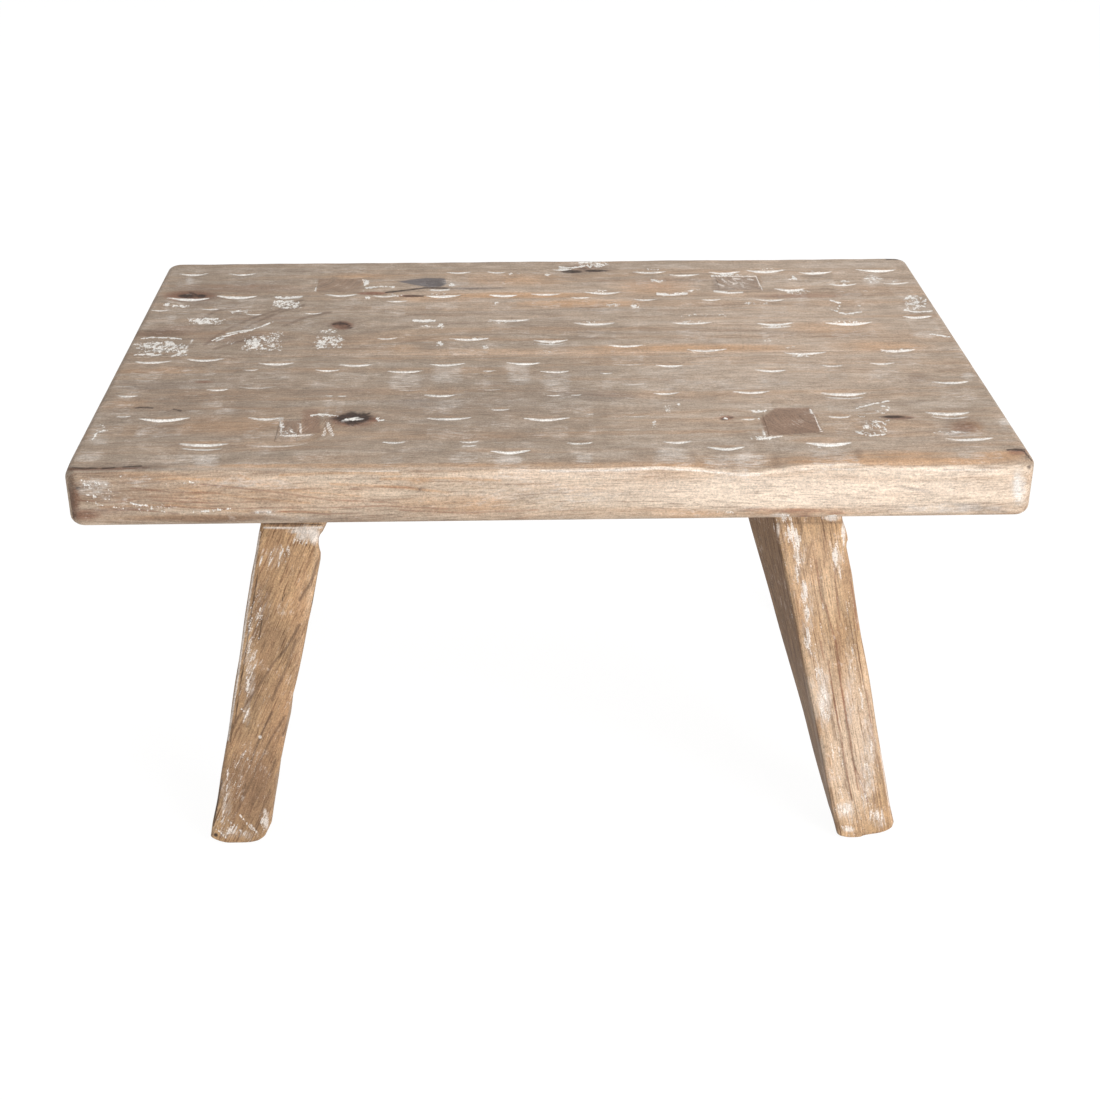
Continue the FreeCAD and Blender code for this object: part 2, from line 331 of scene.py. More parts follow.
TOP_MARKS = (
    Blot(Pigment.GLOW, (
        (790, 330, 200, 110, 0.55), (520, 300, 170, 40, 0.45), (900, 440, 150, 40, 0.35),
        (690, 400, 90, 60, 0.4), (650, 268, 240, 9, 0.3), (500, 293, 110, 4, 0.7), (592, 301, 60, 6, 0.8),
        (650, 285, 64, 8, 0.7), (560, 353, 180, 5, 0.5),
    )),
    Blot(Pigment.SHADE, (
        (200, 350, 150, 100, 0.22), (300, 410, 90, 40, 0.18), (370, 400, 60, 20, 0.2), (162, 334, 32, 5, 0.9),
        (264, 338, 34, 12, 0.4), (330, 340, 26, 12, 0.35), (197, 296, 30, 9, 0.75), (240, 318, 60, 10, 0.3),
        (342, 325, 20, 8, 0.5), (352, 420, 34, 12, 0.5), (964, 427, 20, 10, 0.85), (918, 377, 13, 5, 0.5),
        (858, 455, 5, 7, 0.6), (693, 457, 4, 8, 0.5), (776, 461, 5, 8, 0.5), (874, 428, 20, 11, 0.4),
        (560, 325, 36, 8, 0.35), (520, 325, 18, 8, 0.4), (740, 444, 60, 4, 0.3), (585, 270, 34, 6, 0.4),
        (435, 345, 24, 7, 0.3), (700, 340, 60, 6, 0.25), (130, 466, 70, 4, 0.5), (480, 414, 40, 8, 0.15),
        (920, 310, 20, 12, 0.25), (845, 306, 18, 9, 0.25), (150, 345, 24, 12, 0.35), (206, 345, 30, 8, 0.2),
        (966, 427, 15, 7, 0.5), (815, 276.2, 17, 1.4, 0.8), (736, 283, 24, 8, 0.3), (200, 405, 140, 44, 0.36),
        (480, 410, 120, 44, 0.3), (230, 289, 90, 6, 0.32), (230, 330, 60, 20, 0.3),
    )),
    Blot(Pigment.HAZE, (
        (671, 455, 19, 9, 0.65), (737, 460.5, 34, 8, 0.62), (831, 455, 26, 8, 0.5), (585, 459, 9, 6, 0.6),
        (508, 460, 16, 5, 0.7), (205, 461, 17, 7, 0.65), (461, 457.5, 14, 7, 0.5), (405, 382, 19, 9, 0.55),
        (447, 375, 18, 10, 0.6), (519, 375, 14, 11, 0.6), (556, 382, 17, 10, 0.55), (960, 434, 25, 3, 0.7),
        (99, 436, 11, 12, 0.5), (448, 404, 18, 8, 0.4), (560, 405, 22, 8, 0.35), (866, 423, 12, 7, 0.35),
        (737, 284, 21, 6, 0.4),
    ), 4.0),
    Blot(Pigment.HAZE, (
        (228, 411, 14, 4, 0.6), (195, 412, 14, 3, 0.5), (873, 280, 12, 7, 0.7), (930, 334, 22, 4, 0.6),
        (885, 372, 22, 6, 0.5), (955, 395, 26, 6, 0.5), (800, 304, 12, 4, 0.5), (170, 318, 10, 6, 0.5),
        (150, 470, 40, 6, 0.35), (90, 455, 16, 8, 0.5), (520, 400, 120, 22, 0.25), (700, 385, 120, 12, 0.3),
        (330, 270, 60, 6, 0.3), (640, 266, 60, 5, 0.35), (860, 263, 40, 4, 0.4), (130, 395, 20, 10, 0.4),
        (340, 378, 60, 10, 0.3), (240, 445, 60, 10, 0.3), (190, 281, 5, 5, 0.8), (1004, 423, 6, 6, 0.8),
        (968, 376, 8, 5, 0.7), (450, 282, 12, 3, 0.5), (480, 345, 60, 3, 0.4), (600, 310, 60, 3, 0.4),
    )),
    Blot(Pigment.SPECK, (
        (158, 347, 25, 7, 0.54), (182, 350, 8, 8, 0.54), (262, 343, 22, 9, 0.53), (329, 342, 17, 8, 0.54),
        (206, 321, 20, 4, 0.57), (286, 304.5, 18, 5, 0.56), (240, 311.5, 12, 2.5, 0.5),
        (875, 427, 15, 10, 0.48), (914, 303, 11, 8, 0.52),
    ), 5.0),
    Blot(Pigment.SPECK, (
        (150, 354.5, 17, 2.2, 0.62), (277, 334, 9, 3, 0.6), (252, 344, 5, 3, 0.7), (320, 344, 5, 5, 0.7),
        (180, 306, 12, 2.5, 0.6), (167, 304.5, 4, 2, 0.8), (635, 306, 6, 4, 0.62), (873, 279, 14, 5, 0.52),
        (845, 281, 10, 2, 0.45), (893, 281, 10, 2, 0.45), (648, 270, 16, 2, 0.5), (764, 269, 16, 2, 0.45),
        (815, 271.5, 14, 1.6, 0.4), (600, 291, 16, 2, 0.45), (590, 322, 16, 2, 0.45),
        (692, 322, 18, 2.4, 0.5), (775, 326, 18, 3, 0.52), (848, 322, 22, 2, 0.5), (500, 322, 16, 2, 0.48),
        (548, 343, 18, 3, 0.5), (395, 295, 12, 2, 0.5), (440, 294, 14, 2, 0.4), (700, 351, 20, 3, 0.45),
        (800, 355, 20, 3, 0.5), (895, 351, 18, 2.5, 0.55), (844, 396, 22, 3, 0.46), (945, 415, 20, 3, 0.46),
        (826, 446, 22, 3, 0.5), (860, 416, 12, 2, 0.4), (660, 281, 8, 2.4, 0.5), (487, 347, 5.5, 3.5, 0.62),
        (441, 325.5, 3.6, 3.4, 0.62), (594, 265, 20, 3.5, 0.56), (350, 419.4, 10, 1.5, 0.75),
        (322, 415.2, 14, 2.2, 0.58), (281.6, 427, 3.4, 9, 0.58), (290, 435.4, 13, 1.8, 0.58),
        (307, 434.8, 9, 1.3, 0.5), (300.4, 428.5, 2.0, 6, 0.6), (297, 423.8, 4, 1.3, 0.5),
        (720, 414, 3, 3, 0.5), (725, 418.5, 4.5, 1.5, 0.66), (331, 331, 12, 4, 0.5),
        (367, 282, 3.6, 3.5, 0.8), (452, 285, 4, 2, 0.9), (655, 281, 8, 3, 0.5), (612, 305, 12, 2.5, 0.55),
        (694, 291, 10, 2.5, 0.55), (770, 340, 12, 2.5, 0.5), (668, 408, 6, 5, 0.5), (679, 404, 3, 2, 0.7),
        (840, 285, 8, 3, 0.5), (762, 438, 15, 3, 0.6), (759, 411, 11, 2, 0.65), (205, 461, 12, 4, 0.42),
        (655, 424, 5, 5, 0.5), (430, 327, 12, 2.5, 0.5), (480, 339, 14, 2.5, 0.5), (860, 305, 8, 3, 0.5),
        (100, 432, 8, 6, 0.44), (368, 297.5, 4, 2, 0.7), (496, 303, 4, 2.5, 0.6), (440, 344, 6, 3, 0.6),
        (290, 431, 8, 4, 0.5), (881, 412, 9, 2.5, 0.5), (887, 421, 6, 3, 0.5), (949, 432, 28, 2, 0.5),
        (738, 282, 14, 5, 0.45), (727, 274.5, 18, 1.8, 0.6), (795, 291.5, 20, 3.5, 0.5),
        (752, 303, 20, 2, 0.5), (700, 315, 40, 2, 0.42), (552, 351, 14, 2, 0.45), (640, 346, 12, 2, 0.4),
        (905, 350, 10, 3, 0.5), (790, 347, 12, 1.6, 0.5), (232, 343, 8, 3, 0.45), (300, 330, 8, 2, 0.4),
        (870, 291, 14, 2, 0.4), (514, 274, 12, 2, 0.45), (548, 275, 4, 2, 0.6), (505, 283, 8, 2, 0.35),
    )),
    Stroke(Pigment.SPECK, 1.1, 0.74, (
        ((141, 338.5), (150, 337.5), (166, 337.5), (182, 339)), ((134, 355), (145, 354), (156, 355)),
        ((211, 341), (220, 337), (230, 335), (248, 331)), ((248, 331), (260, 327), (272, 322)),
        ((904, 310), (916, 312), (932, 311)), ((904, 300), (908, 296), (918, 296)), ((926, 299), (925, 307)),
        ((830, 300), (840, 303), (838, 309)), ((830, 309), (845, 314), (861, 312)),
        ((376, 418.6), (380, 417.6)), ((378, 420.4), (384, 420)), ((309, 416), (320, 414), (339, 416)),
        ((559, 267), (572, 268), (584, 266)), ((578, 263), (592, 262), (606, 266)),
        ((810.5, 409), (816, 420), (822, 432)), ((757, 417), (761, 420), (764, 428), (767, 436)),
        ((755, 412), (765, 411)), ((760, 439), (775, 437), (782, 436)),
        ((711.5, 276), (756, 276.5), (762, 290)), ((316.5, 280), (315.5, 291)),
        ((857, 408), (872, 404), (888, 401)), ((856, 432), (870, 436), (886, 434)),
        ((881, 406), (890, 407), (886, 411)), ((100, 424), (106, 428)),
        ((92, 440), (96, 434), (101, 431), (108, 430)), ((930, 334), (950, 337)),
        ((363, 279), (366, 288), (364, 291)), ((365, 288), (380, 286.5), (395, 287)),
    )),
    Stroke(Pigment.WHITE, 0.9, 0.8, (
        ((715, 291.5), (728, 293), (743, 292.3)), ((810.8, 410), (814, 417)), ((761, 428), (765, 435)),
        ((172, 356.5), (182, 352), (188, 346), (192, 340)), ((226, 334), (240, 331), (252, 330)),
        ((216, 341), (224, 338)), ((741, 283), (743, 287)), ((722, 279), (726, 282)),
        ((733, 278.5), (740, 279)), ((718, 284), (724, 286)), ((714, 291), (727, 292)),
        ((733, 284), (737, 283)), ((748, 279), (753, 280)), ((431, 290), (440, 290.4), (449, 289.6)),
        ((559, 269), (568, 268.6)), ((343, 420.6), (350, 420)), ((349, 419), (355, 418), (359, 417.6)),
        ((357, 419.6), (362, 419)), ((279, 418), (283, 419)), ((280, 420), (281.4, 427), (281, 434)),
        ((283, 435.4), (296, 436), (311, 434.6)), ((300.4, 424), (301, 433)),
    )),
    Stroke(Pigment.DARK, 0.9, 0.55, (((446, 288), (470, 288.6), (490, 288), (506, 287.8)),)),
    Stroke(Pigment.DARK, 1.0, 0.95, (
        ((385, 292.5), (400, 291), (425, 287.8), (448, 288.2)), ((363, 416), (371, 412.4)),
        ((1007, 450), (1016, 449), (1024, 451), (1032, 461)), ((886, 259), (898, 259)),
        ((403, 296), (423, 296)), ((190, 292.5), (197, 295)),
        ((333, 324.6), (340, 323), (348, 324.6), (351, 327.6)),
    )),
    # Painted highlight along the rounded front edge, where the wood is also worn paler.
    Stroke(Pigment.PALE, 2.6, 0.45, (
        ((170, 467.5), (300, 468.5), (420, 468.5), (560, 467), (640, 464.5), (660, 464)),
    )),
    Stroke(Pigment.SHADE, 2.0, 1.0, (((62, 469), (80, 469), (110, 468.6), (150, 467)),)),
    Stroke(Pigment.RED, 1.8, 0.8, (((66, 469), (90, 469), (118, 468.6), (146, 467.6)),)),
    Stroke(Pigment.DARK, 1.1, 0.85, (
        ((134, 408), (143, 407.4), (153, 408)), ((173, 409), (181, 411)),
        ((72, 467.5), (84, 468.5), (96, 468)), ((102, 468.5), (116, 467.5)), ((122, 467), (142, 466)),
    )),
    Stroke(Pigment.SHADE, 1.1, 0.4, (
        ((580, 311), (620, 309), (680, 311), (740, 307)),
        ((320, 330), (380, 318), (450, 312), (520, 311), (600, 307)),
        ((330, 338), (420, 325), (500, 322), (560, 318)), ((400, 343), (440, 336), (520, 334), (600, 338)),
        ((193, 382), (205, 381), (214, 382)), ((560, 332), (640, 334), (720, 330)),
        ((620, 317), (700, 316), (760, 314)), ((790, 335), (850, 338), (910, 336)),
        ((700, 306), (760, 303), (820, 306)), ((640, 327), (720, 338), (780, 336)),
        ((420, 300), (470, 300), (500, 297)), ((940, 371), (955, 369), (965, 367)),
        ((880, 402), (905, 403), (925, 401)), ((150, 330), (166, 333), (186, 331)),
        ((880, 416), (900, 419), (930, 424)), ((250, 452), (330, 448), (400, 452)),
        ((150, 425), (230, 430), (280, 428)), ((930, 303), (936, 316)), ((820, 288), (870, 295), (910, 292)),
    )),
    Stroke(Pigment.SHADE, 1.6, 0.8, (
        ((205, 345), (218, 335), (232, 327), (248, 320), (262, 315), (276, 311), (290, 305), (302, 300)),
        ((236, 333), (252, 324), (268, 317), (284, 311), (304, 305)), ((214, 349), (238, 342), (262, 334)),
        ((284, 326), (304, 318), (330, 312)), ((196, 322), (214, 312), (236, 306)),
    )),
    Stroke(Pigment.SHADE, 2.4, 0.4, (
        ((170, 287), (210, 285), (250, 284), (300, 281)), ((600, 281), (660, 279), (705, 280)),
        ((760, 290), (820, 292), (870, 296)), ((640, 331), (700, 329), (780, 333), (870, 333)),
        ((400, 317), (480, 313), (560, 314)),
    )),
    Blot(Pigment.DARK, (
        (187, 296.0, 10, 2.2, 1.15), (201, 296, 6, 2.0, 1.0), (572, 271.6, 12, 1.8, 1.1),
        (596, 270.8, 15, 1.5, 1.0), (583, 269, 6, 2, 0.6), (724, 419, 5, 1.8, 0.8), (731, 417.5, 4, 1.6, 0.7),
        (893, 416.8, 14, 1.7, 1.1), (908, 418, 9, 1.0, 0.7), (1018, 449.8, 9, 1.6, 0.9),
        (1027, 457, 4, 3, 0.6), (240, 272, 14, 3, 0.25), (262, 345, 20, 7, 0.3), (158, 348, 22, 6, 0.3),
        (329, 343, 14, 7, 0.25), (875, 428, 14, 8, 0.3), (915, 303, 9, 6, 0.25), (362, 271, 5, 2, 0.4),
        (441, 269, 8, 3, 0.15), (919, 377, 10, 3, 0.3), (800, 281, 18, 1.6, 0.45), (466, 347, 5, 3, 0.4),
    )),
    Blot(Pigment.DARK, (
        (352, 418.6, 19, 6.6, 1.9), (362, 416.6, 12, 5.0, 1.1), (340, 323.4, 12, 3.4, 0.75),
        (348, 327.6, 9, 2.6, 0.6), (343, 325, 12, 5, 0.3), (374, 418.6, 9, 2.6, 0.5),
    ), 1.1),
    Patch(Pigment.COOL, 1.15, 2.0, (
        (
            (396, 281.8), (412, 279.4), (426, 277.8), (445, 278.2), (447, 284), (440, 287), (426, 287.5),
            (410, 284.2),
        ),
    )),
    Patch(Pigment.DARK, 0.42, 2.0, (((424, 279), (445, 279), (446, 285), (438, 286.6), (426, 286.2)),)),
    Patch(Pigment.COOL, 0.42, 1.4, (((711.7, 276.8), (756.4, 276.8), (762, 290.3), (715, 290.8)),)),
    Blot(Pigment.COOL, (
        (475, 288.5, 45, 1.8, 0.5), (420, 402, 60, 10, 0.4), (590, 395, 70, 8, 0.45), (690, 402, 70, 9, 0.3),
        (150, 385, 50, 8, 0.35), (830, 400, 50, 9, 0.3), (330, 392, 60, 8, 0.4), (300, 270, 70, 5, 0.3),
        (595, 370, 40, 8, 0.35), (560, 375, 24, 10, 0.3), (420, 383, 14, 10, 0.3), (341, 286, 24, 8, 0.2),
    )),
    Blot(Pigment.WARM, (
        (966, 428, 18, 9, 0.9), (520, 281, 60, 6, 0.6), (520, 295.5, 90, 3.4, 0.9), (580, 303, 62, 4.5, 0.8),
        (430, 299, 60, 4, 0.6), (655, 287, 50, 9, 0.6), (360, 276, 50, 4, 0.5), (400, 349, 30, 5, 0.5),
        (500, 352, 200, 4, 0.5), (700, 348, 120, 5, 0.8), (880, 346, 60, 6, 0.7), (830, 328, 60, 7, 0.6),
        (230, 425, 80, 12, 0.5), (900, 461, 140, 5, 0.9), (600, 465, 200, 3, 0.6), (300, 466, 150, 3, 0.6),
        (540, 428, 120, 14, 0.2), (700, 425, 80, 12, 0.2), (160, 370, 60, 5, 0.4), (280, 441, 60, 5, 0.3),
        (400, 436, 60, 5, 0.3), (130, 402, 25, 5, 0.5), (620, 352, 60, 4, 0.6), (900, 455, 70, 5, 0.7),
        (1000, 456, 30, 6, 1.0), (900, 425, 60, 6, 0.4), (820, 440, 40, 4, 0.5), (330, 430, 40, 6, 0.4),
        (500, 450, 60, 3, 0.4),
    )),
    Blot(Pigment.RED, (
        (240, 288, 84, 6, 0.42), (180, 330, 40, 8, 0.4), (230, 338, 50, 8, 0.4), (372, 293.4, 15, 1.8, 1.2),
        (660, 284, 48, 9, 0.4), (372, 419.5, 10, 2.6, 1.1), (727, 418, 9, 3, 0.8), (898, 417.5, 18, 2.6, 0.8),
        (204, 382, 11, 1.5, 0.8), (586, 268, 26, 5, 0.5), (342, 325.3, 11, 4.4, 1.3),
        (311, 420, 11, 13, 0.55), (800, 296, 60, 3, 0.6), (320, 343, 30, 8, 0.3), (480, 283, 40, 6, 0.3),
        (152, 334, 34, 5, 0.4), (965, 427, 15, 7, 0.75), (915, 377, 10, 4, 0.3), (410, 296, 14, 1.6, 0.9),
        (870, 286, 40, 6, 0.3), (190, 296, 28, 5.5, 1.1), (270, 318, 50, 6, 0.35), (1018, 452, 14, 4, 0.8),
        (352, 420, 25, 7, 1.0),
    )),
    Patch(Pigment.END, 1.0, 1.6, (((775, 408), (811, 407.7), (822.6, 432), (767.5, 436), (760, 419)),)),
    Stroke(Pigment.SHADE, 1.1, 0.6, (
        ((711, 277), (714.5, 291), (735, 292), (762, 291)), ((757, 277), (763, 290)),
        ((316, 291), (360, 292)),
    )),
    Patch(Pigment.SHADE, 0.6, 1.6, (((282, 421), (301, 421), (301, 435), (281, 435)),)),
    Patch(Pigment.END, 0.5, 1.4, (((320, 279), (363, 279), (361, 291.5), (316.5, 291.5)),)),
    Patch(Pigment.END, 0.85, 1.4, (((303, 410), (318, 409), (321, 433), (302, 434)),)),
    Patch(Pigment.SPECK, 0.6, 1.6, (
        ((787, 280), (793, 275), (798, 278.5), (797, 280.5)),
        ((325, 421), (329, 422), (337, 437), (331, 436), (327, 430)),
        ((321, 436), (325, 426), (327, 432), (325, 437)),
    )),
    Patch(Pigment.END, 0.3, 1.6, (
        ((711.7, 276.8), (756.4, 276.8), (762, 290.3), (715, 290.8)),
        ((284, 421), (301, 421), (301, 434), (283, 435)),
    )),
    Stroke(Pigment.SHADE, 0.9, 0.4, (
        ((770, 431), (790, 424), (806, 410)), ((778, 435), (800, 430), (816, 420)),
        ((766, 424), (780, 417), (792, 409)), ((774, 434), (796, 427), (812, 414)),
        ((767, 428), (786, 420), (799, 409)),
    )),
)

# The line where the top turns into the front face, in pixels.
ARRIS = (
    (60, 470), (73, 467), (142, 465.5), (300, 466.5), (420, 467), (560, 467.5), (640, 465), (655, 463.8),
    (690, 466), (730, 471), (756, 471.5), (772, 468.5), (800, 464), (830, 462.5), (850, 459.5), (870, 461.5),
    (930, 462), (971, 461.5), (1031, 461),
)

# How far below that line the top's colour ends, by pixel across.
COLOUR_DROP = (
    (60, 0), (480, 0), (600, 0.6), (830, 1.0), (850, 3.5), (880, 5.0), (1000, 5.2), (1031, 4.0),
)

FRONT_MARKS = (
    Blot(Pigment.WHITE, ((1017, 487, 4, 17, 0.55), (1019, 497, 4, 10, 0.4))),
    Blot(Pigment.HAZE, (
        (94, 487, 20, 11, 0.75), (112, 496, 20, 12, 0.4), (950, 509, 70, 7, 0.6), (600, 472, 60, 3, 0.4),
        (140, 482, 34, 8, 0.4), (118, 508, 34, 8, 0.3), (545, 495, 110, 18, 0.4), (1019, 488, 8, 20, 0.9),
        (975, 508, 40, 4, 0.5), (180, 509, 60, 4, 0.3), (300, 518, 40, 4, 0.3), (250, 483, 60, 5, 0.5),
        (560, 516, 60, 3, 0.3), (700, 512, 50, 4, 0.25), (265, 512, 16, 3, 0.6), (940, 484, 50, 6, 0.3),
        (280, 487, 30, 3, 0.5), (730, 480, 60, 4, 0.3), (780, 516, 10, 5, 0.8),
    )),
    Blot(Pigment.SPECK, (
        (92, 485, 16, 6, 0.4), (104, 494, 20, 10, 0.36), (265, 512, 14, 2, 0.5), (1019, 486, 6, 16, 0.36),
        (150, 508, 40, 6, 0.34), (785, 516, 9, 4, 0.6), (832, 517, 9, 3.5, 0.6), (728, 512, 16, 2, 0.45),
    )),
    Blot(Pigment.RED, (
        (74, 500, 7, 18, 0.9), (84, 515, 20, 6, 0.9), (112, 510, 30, 5, 0.5), (70, 472, 8, 5, 0.6),
        (795, 511, 34, 3.4, 0.8), (756, 509, 26, 2.5, 0.6), (835, 513, 14, 3, 0.6), (804, 517, 10, 4, 0.8),
    )),
    Stroke(Pigment.SPECK, 1.8, 0.48, (
        ((80, 480), (95, 482), (112, 486)), ((82, 487), (100, 489), (118, 494)),
        ((84, 494), (98, 497), (110, 500)), ((86, 501), (104, 506), (124, 508)),
        ((120, 500), (140, 505), (170, 508)), ((190, 512), (230, 509)), ((160, 484), (200, 482)),
        ((120, 476), (150, 479)),
    )),
    Blot(Pigment.WARM, (
        (190, 518, 80, 4, 0.9), (250, 497, 150, 20, 0.5), (450, 505, 90, 12, 0.6), (700, 514, 80, 5, 0.5),
        (90, 480, 40, 8, 0.4), (130, 474, 60, 4, 0.6), (800, 512, 60, 5, 0.7), (420, 480, 14, 5, 0.6),
        (560, 488, 60, 5, 0.3),
    )),
    # The long thin blots along the bottom, at rows 513 to 521, are painted shade on the rounded lower edge.
    Blot(Pigment.SHADE, (
        (200, 519, 90, 4.5, 1.1), (300, 520.5, 240, 5, 0.6), (400, 513, 130, 8, 0.4), (90, 490, 24, 24, 0.75),
        (98, 510, 44, 14, 0.55), (100, 492, 50, 26, 0.5), (71, 495, 4.5, 30, 1.2), (200, 498, 120, 18, 0.3),
        (96, 474, 34, 5, 0.9), (120, 495, 60, 30, 0.6), (110, 514, 60, 8, 0.6), (560, 520, 120, 4, 0.35),
        (780, 515, 50, 5, 0.45), (975, 506, 34, 5, 0.3), (100, 471, 40, 4, 0.5), (1028, 505, 4, 16, 0.4),
        (240, 474, 120, 3, 0.25), (420, 490, 5, 3, 0.6),
    )),
    # The long thin blots at rows 514 to 520 are painted shade on the rounded lower edge too.
    Blot(Pigment.DARK, (
        (105, 469, 40, 2.4, 0.8), (200, 471, 40, 2, 0.35), (240, 520, 100, 2, 0.35), (430, 520, 80, 2, 0.3),
        (420, 489, 3, 1.6, 0.7), (1029, 466, 3, 4, 0.8), (74, 515, 4, 5, 0.6), (78, 488, 3, 2, 0.9),
        (69, 470, 4, 4, 0.7), (745, 511, 20, 1.6, 0.5), (780, 514, 60, 2, 0.3), (1002, 512, 14, 1.6, 0.5),
    )),
    # The thin blots just under the arris add painted highlight on the rounded front edge.
    Blot(Pigment.PALE, (
        (260, 484, 130, 8, 0.3), (300, 500, 120, 8, 0.15), (820, 490, 240, 24, 0.9), (620, 484, 130, 16, 0.6),
        (540, 476, 120, 5, 0.7), (930, 472, 110, 9, 1.0), (600, 474, 70, 5, 1.2), (300, 478, 120, 4, 0.3),
        (480, 495, 60, 5, 0.4), (300, 505, 60, 3, 0.3), (1015, 485, 14, 20, 0.7),
    )),
    # Painted highlight along the rounded front edge, where the wood is also worn paler.
    Stroke(Pigment.PALE, 2.0, 2.2, (
        (
            (500, 470.5), (560, 470.5), (640, 468), (660, 467), (700, 469.5), (735, 474), (760, 474.5),
            (800, 467.5), (850, 463), (930, 465), (1020, 464.5),
        ),
    )),
    # White along the arris, brightening the worn pale edge as painted highlight on its rounding.
    Stroke(Pigment.WHITE, 1.7, 0.55, (
        ((540, 471), (600, 470.5), (640, 469), (660, 468), (700, 470.5), (735, 474.5), (760, 474.5)),
    )),
    Stroke(Pigment.WHITE, 1.3, 0.42, (
        ((800, 469), (850, 469), (930, 470), (1000, 470)), ((340, 470.5), (400, 471)),
    )),
    Stroke(Pigment.RED, 1.2, 0.72, (
        ((80, 500), (110, 503), (150, 497), (200, 499)), ((90, 512), (130, 509), (180, 514)),
        ((200, 484), (260, 490), (330, 500), (400, 503)), ((160, 506), (220, 509), (300, 507)),
        ((130, 488), (170, 492), (220, 493)), ((400, 510), (460, 513), (540, 510)),
        ((150, 500), (210, 503), (280, 501)), ((320, 508), (380, 506), (450, 509)),
        ((250, 513), (300, 511), (330, 515)), ((350, 489), (380, 487), (415, 488)),
    )),
    Stroke(Pigment.WARM, 1.8, 0.75, (
        ((120, 480), (180, 478), (240, 481), (300, 490)), ((280, 475), (340, 473), (400, 474)),
        ((240, 476), (260, 484), (300, 492), (360, 496)), ((180, 488), (240, 497), (310, 503)),
        ((330, 484), (400, 487), (450, 493)), ((380, 479), (440, 478), (500, 480)),
        ((100, 507), (170, 505), (240, 511), (330, 512)),
    )),
    Stroke(Pigment.DARK, 1.1, 0.3, (
        ((110, 478), (150, 482), (200, 484), (260, 491)), ((95, 504), (140, 500), (190, 503)),
        ((240, 478), (270, 488), (320, 496), (380, 500)), ((100, 513), (150, 512), (200, 515)),
        ((190, 507), (250, 505), (300, 510)), ((420, 489), (450, 486), (500, 489)),
        ((620, 503), (700, 500), (760, 503)), ((800, 483), (860, 481), (910, 484)),
        ((850, 502), (900, 500), (960, 503)),
    )),
    Stroke(Pigment.COOL, 2.4, 0.55, (
        ((944, 502), (958, 504), (976, 506)), ((956, 509), (974, 507.5), (990, 509), (1006, 511.5)),
        ((962, 506), (984, 507), (1000, 508)), ((898, 486), (914, 489), (930, 492)),
    )),
)

